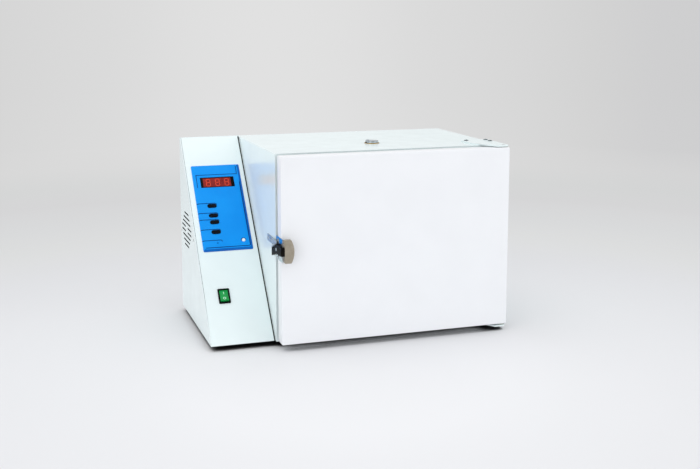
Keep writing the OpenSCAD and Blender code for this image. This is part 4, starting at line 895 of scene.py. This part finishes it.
# Rounds the long inner corners between the liner's walls
def pressCorners(shape):
    low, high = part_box("chamber_liner")
    rim = chamberLook["rim"]

    def inside(p):
        return (low.x + rim < p.x < high.x - rim and low.z + rim < p.z < high.z - rim
                and p.y < high.y - 0.5 * mm)

    roundEdges(shape, inside, chamberLook["corner"],
               lambda edge: edge.calc_length() > chamberLook["longEdge"] and not edge.is_convex)


dress("chamber_liner", [linerSteel], 0.15, pressCorners)
for node in ("air_baffle", "shelf_rails_left", "shelf_rails_right"):
    dress(node, [linerSteel], 0.15)
for node in ("shelf_upper", "shelf_lower"):
    dress(node, [wireSteel], 0)
for side in ("top", "bottom", "left", "right", "back"):
    dress("insulation_" + side, [wool], 1.5)
print("chamber made")

# Heaters, probe, fan and the electrical parts
for node, material, slotName, edge in (
        ("heaters", heaterSteel, "heater_steel", 0.3), ("heater_bushings", ceramic, "ceramic", 0.8),
        ("temperature_probe", wireSteel, "bright_steel", 0.4),
        ("safety_thermostat", blackPlastic, "black_plastic", 0.3),
        ("motor_stack", coreSteel, "core_steel", 0.3), ("motor_coil", copper, "copper", 1.5),
        ("motor_plates", brightSteel, "bright_steel", 0.5), ("fan_shaft", brightSteel, "bright_steel", 0.5),
        ("motor_rotor", coreSteel, "core_steel", 0.5), ("fan_impeller", linerSteel, "liner_steel", 0.2),
        ("cooling_fan", blackPlastic, "black_plastic", 0.3), ("control_board", boardLaminate, "board", 0.2),
        ("key_switches", palePlastic, "pale_plastic", 0.4),
        ("power_transformer", coreSteel, "core_steel", 0.8),
        ("heater_relay", palePlastic, "pale_plastic", 0.8)):
    dress(node, [material], edge)
print("inner parts made")

# Camera at the photograph's angle: its place in metres, its turn, tip and roll in degrees, and its lens
cameraView = {"place": (-0.7279, -2.2403, 0.6947), "turn": 18.549, "tip": -8.057, "roll": 0.049,
              "lens": 54.285, "sensor": 36.0, "shift": -0.1}
turn, tip, roll = (math.radians(cameraView[k]) for k in ("turn", "tip", "roll"))
ahead = Vector((math.sin(turn) * math.cos(tip), math.cos(turn) * math.cos(tip), math.sin(tip)))
across = Vector((math.cos(turn), -math.sin(turn), 0))
upward = across.cross(ahead)
tilted = (across * math.cos(roll) + upward * math.sin(roll),
          upward * math.cos(roll) - across * math.sin(roll), -ahead)
cameraData = bpy.data.cameras.new("benchCamera")
cameraData.lens = cameraView["lens"]
cameraData.sensor_width = cameraView["sensor"]
cameraData.shift_y = cameraView["shift"]
camera = bpy.data.objects.new("benchCamera", cameraData)
scene.collection.objects.link(camera)
camera.matrix_world = Matrix.Translation(cameraView["place"]) @ Matrix(tilted).transposed().to_4x4()
scene.camera = camera

# Stage: a wide paper floor whose greys are a painted pool of light, palest round the object, which fades into
# an even grey for what looks at it.
# Each list gives greys at distances in metres from the middle of that painted pool of light
stageLook = {"side": 60.0, "middle": (-0.1, -0.35, 0), "reach": 8.0,
             "paper": [(0, "#e4e5e7"), (0.3, "#e4e5e7"), (0.45, "#e0e1e3"), (0.62, "#dddee0"),
                       (0.75, "#dbdcde"), (0.9, "#d8d9db"), (1.2, "#d3d4d6")],
             "glow": [(1.0, "#e4e4e5"), (1.3, "#dedfdf"), (1.7, "#d9dadb"), (2.1, "#d6d6d7"),
                      (2.5, "#d8d9d9"), (3.0, "#dedede"), (3.7, "#e2e2e2"), (8.0, "#e1e1e1")],
             "fadeFrom": 1.0, "fadeTo": 1.5, "contact": 0.03, "contactFrom": 0.2, "contactTo": 0.56}

# The far backdrop is brightest in one direction, as under a pool of light. A fixed place on the floor that
# directions are taken from, the bright direction in degrees, and tones by the cosine of the angle to it
poolLook = {"from": (-0.73, -2.24, 0), "bearing": 14.5, "near": 2.0, "far": 3.8,
            "tones": [(0.906, "#e9e9ea"), (0.9397, "#ebebec"), (0.9563, "#efefef"), (0.9744, "#f4f4f4"),
                      (0.9903, "#f8f8f8"), (0.9976, "#fdfdfd"), (1.0, "#ffffff")]}


# 1 where camera, mirror or glass rays look at the surface, and 0 for the light that it gives to others
def seenDirectly(tree):
    path = addNode(tree, "ShaderNodeLightPath")
    first = addNode(tree, "ShaderNodeMath", {"operation": "MAXIMUM"},
                    {0: path.outputs["Is Camera Ray"], 1: path.outputs["Is Glossy Ray"]})
    return addNode(tree, "ShaderNodeMath", {"operation": "MAXIMUM"},
                   {0: first.outputs["Value"], 1: path.outputs["Is Transmission Ray"]}).outputs["Value"]


# Stops at real distances in metres, as stops of a ramp over the stage's reach
def byDistance(stops):
    return [(at / stageLook["reach"], tone) for at, tone in stops]


# A grey that depends on how near a level direction is to the pool of light
def poolTone(tree, direction):
    level = addNode(tree, "ShaderNodeVectorMath", {"operation": "MULTIPLY", 1: (1, 1, 0)}, {0: direction})
    unit = addNode(tree, "ShaderNodeVectorMath", {"operation": "NORMALIZE"}, {0: level.outputs["Vector"]})
    bearing = math.radians(poolLook["bearing"])
    near = addNode(tree, "ShaderNodeVectorMath", {"operation": "DOT_PRODUCT",
                                                  1: (math.sin(bearing), math.cos(bearing), 0)},
                   {0: unit.outputs["Vector"]})
    return addNode(tree, "ShaderNodeValToRGB", {"stops": poolLook["tones"]}, {"Fac": near.outputs["Value"]})


# Two colours multiplied, the second one as strongly as the share says
def multiplied(tree, first, second, share=1.0):
    mix = addNode(tree, "ShaderNodeMix", {"data_type": "RGBA", "blend_type": "MULTIPLY", 0: 1.0})
    tree.links.new(first, mix.inputs[6])
    tree.links.new(second, mix.inputs[7])
    if share != 1.0:
        tree.links.new(share, mix.inputs[0])
    return mix.outputs[2]


# Painted light: greys by distance as a pool of light, and the contact shadow: the paper goes black under what
# is a few centimetres above it
def paperTones(tree, share):
    tones = addNode(tree, "ShaderNodeValToRGB", {"stops": byDistance(stageLook["paper"])}, {"Fac": share})
    closeBy = addNode(tree, "ShaderNodeAmbientOcclusion", {"samples": 16, "Distance": stageLook["contact"]})
    contact = addNode(tree, "ShaderNodeMapRange", {"interpolation_type": "SMOOTHSTEP", "To Min": 0.02,
                                                   "From Min": stageLook["contactFrom"],
                                                   "From Max": stageLook["contactTo"]},
                      {"Value": closeBy.outputs["AO"]})
    return multiplied(tree, tones.outputs["Color"], contact.outputs["Result"])


def makeFloor():
    shape, side = bmesh.new(), stageLook["side"]
    shape.faces.new([shape.verts.new((x, y, 0)) for x, y in rectangle(side, side)])
    floor = toObject("paperFloor", shape)
    paper, tree, shader, place = startMaterial("mattStudioPaper", {"Roughness": 0.95,
                                                                   "Specular IOR Level": 0.2})
    offset = addNode(tree, "ShaderNodeVectorMath", {"operation": "DISTANCE", 1: stageLook["middle"]},
                     {0: place}).outputs["Value"]
    share = addNode(tree, "ShaderNodeMath", {"operation": "DIVIDE", 1: stageLook["reach"]},
                    {0: offset}).outputs["Value"]
    tree.links.new(paperTones(tree, share), shader.inputs["Base Color"])
    farTones = addNode(tree, "ShaderNodeValToRGB", {"stops": byDistance(stageLook["glow"])}, {"Fac": share})
    towards = addNode(tree, "ShaderNodeVectorMath", {"operation": "SUBTRACT", 1: poolLook["from"]},
                      {0: place})
    grow = addNode(tree, "ShaderNodeMapRange", {"From Min": poolLook["near"], "From Max": poolLook["far"]},
                   {"Value": offset})
    farColour = multiplied(tree, farTones.outputs["Color"],
                           poolTone(tree, towards.outputs["Vector"]).outputs["Color"], grow.outputs["Result"])
    fade = addNode(tree, "ShaderNodeMapRange", {"interpolation_type": "SMOOTHSTEP",
                                                "From Min": stageLook["fadeFrom"],
                                                "From Max": stageLook["fadeTo"]}, {"Value": offset})
    part = addNode(tree, "ShaderNodeMath", {"operation": "MULTIPLY"},
                   {0: fade.outputs["Result"], 1: seenDirectly(tree)})
    glow = addNode(tree, "ShaderNodeEmission", {"Strength": 1.0}, {"Color": farColour})
    mix = addNode(tree, "ShaderNodeMixShader", None, {0: part.outputs["Value"], 1: shader.outputs["BSDF"],
                                                      2: glow.outputs["Emission"]})
    tree.links.new(mix.outputs["Shader"], tree.nodes["Material Output"].inputs["Surface"])
    floor.data.materials.append(paper)


makeFloor()

# Room light, with the floor's far grey behind the object and a dark ceiling that only glossy surfaces show
roomLook = {"light": "#f0f0f1", "strength": 1.22, "ceiling": "#4a4d50", "ceilingFrom": 0.3, "ceilingTo": 0.75}
room = bpy.data.worlds.new("paleRoom")
scene.world = room
room.use_nodes = True
tree = room.node_tree
ambient = tree.nodes["Background"]
ambient.inputs["Color"].default_value = linear(roomLook["light"])
ambient.inputs["Strength"].default_value = roomLook["strength"]
compass = addNode(tree, "ShaderNodeTexCoord").outputs["Generated"]
height = addNode(tree, "ShaderNodeSeparateXYZ", None, {0: compass}).outputs["Z"]
above = addNode(tree, "ShaderNodeMapRange", {"interpolation_type": "SMOOTHSTEP",
                                             "From Min": roomLook["ceilingFrom"],
                                             "From Max": roomLook["ceilingTo"]}, {"Value": height})
wallTones = [(0.0, stageLook["glow"][-1][1]), (1.0, roomLook["ceiling"])]
tones = addNode(tree, "ShaderNodeValToRGB", {"stops": wallTones}, {"Fac": above.outputs["Result"]})
wall = addNode(tree, "ShaderNodeBackground", {"Strength": 1.0},
               {"Color": multiplied(tree, tones.outputs["Color"], poolTone(tree, compass).outputs["Color"])})
mix = addNode(tree, "ShaderNodeMixShader", None,
              {0: seenDirectly(tree), 1: ambient.outputs["Background"], 2: wall.outputs["Background"]})
tree.links.new(mix.outputs["Shader"], tree.nodes["World Output"].inputs["Surface"])

# Softboxes: place, aim, side length and power
lampLook = {"softboxTop": ((-0.6, -0.2, 2.8), (-0.6, -0.2, 0), 1.8, 7),
            "softboxLeft": ((-3.4, -3.4, 1.15), (0, 0, 0.2), 3.0, 22),
            "softboxRight": ((2.2, -2.6, 1.2), (0, 0, 0.2), 2.0, 9)}
for name, (spot, aim, size, power) in lampLook.items():
    data = bpy.data.lights.new(name, "AREA")
    data.shape = "SQUARE"
    data.size = size
    data.energy = power
    lamp = bpy.data.objects.new(name, data)
    lamp.location = spot
    lamp.rotation_mode = "QUATERNION"
    lamp.rotation_quaternion = (Vector(aim) - Vector(spot)).to_track_quat("-Z", "Y")
    scene.collection.objects.link(lamp)
scene.view_settings.view_transform = "Standard"
print("camera, stage and lamps made")
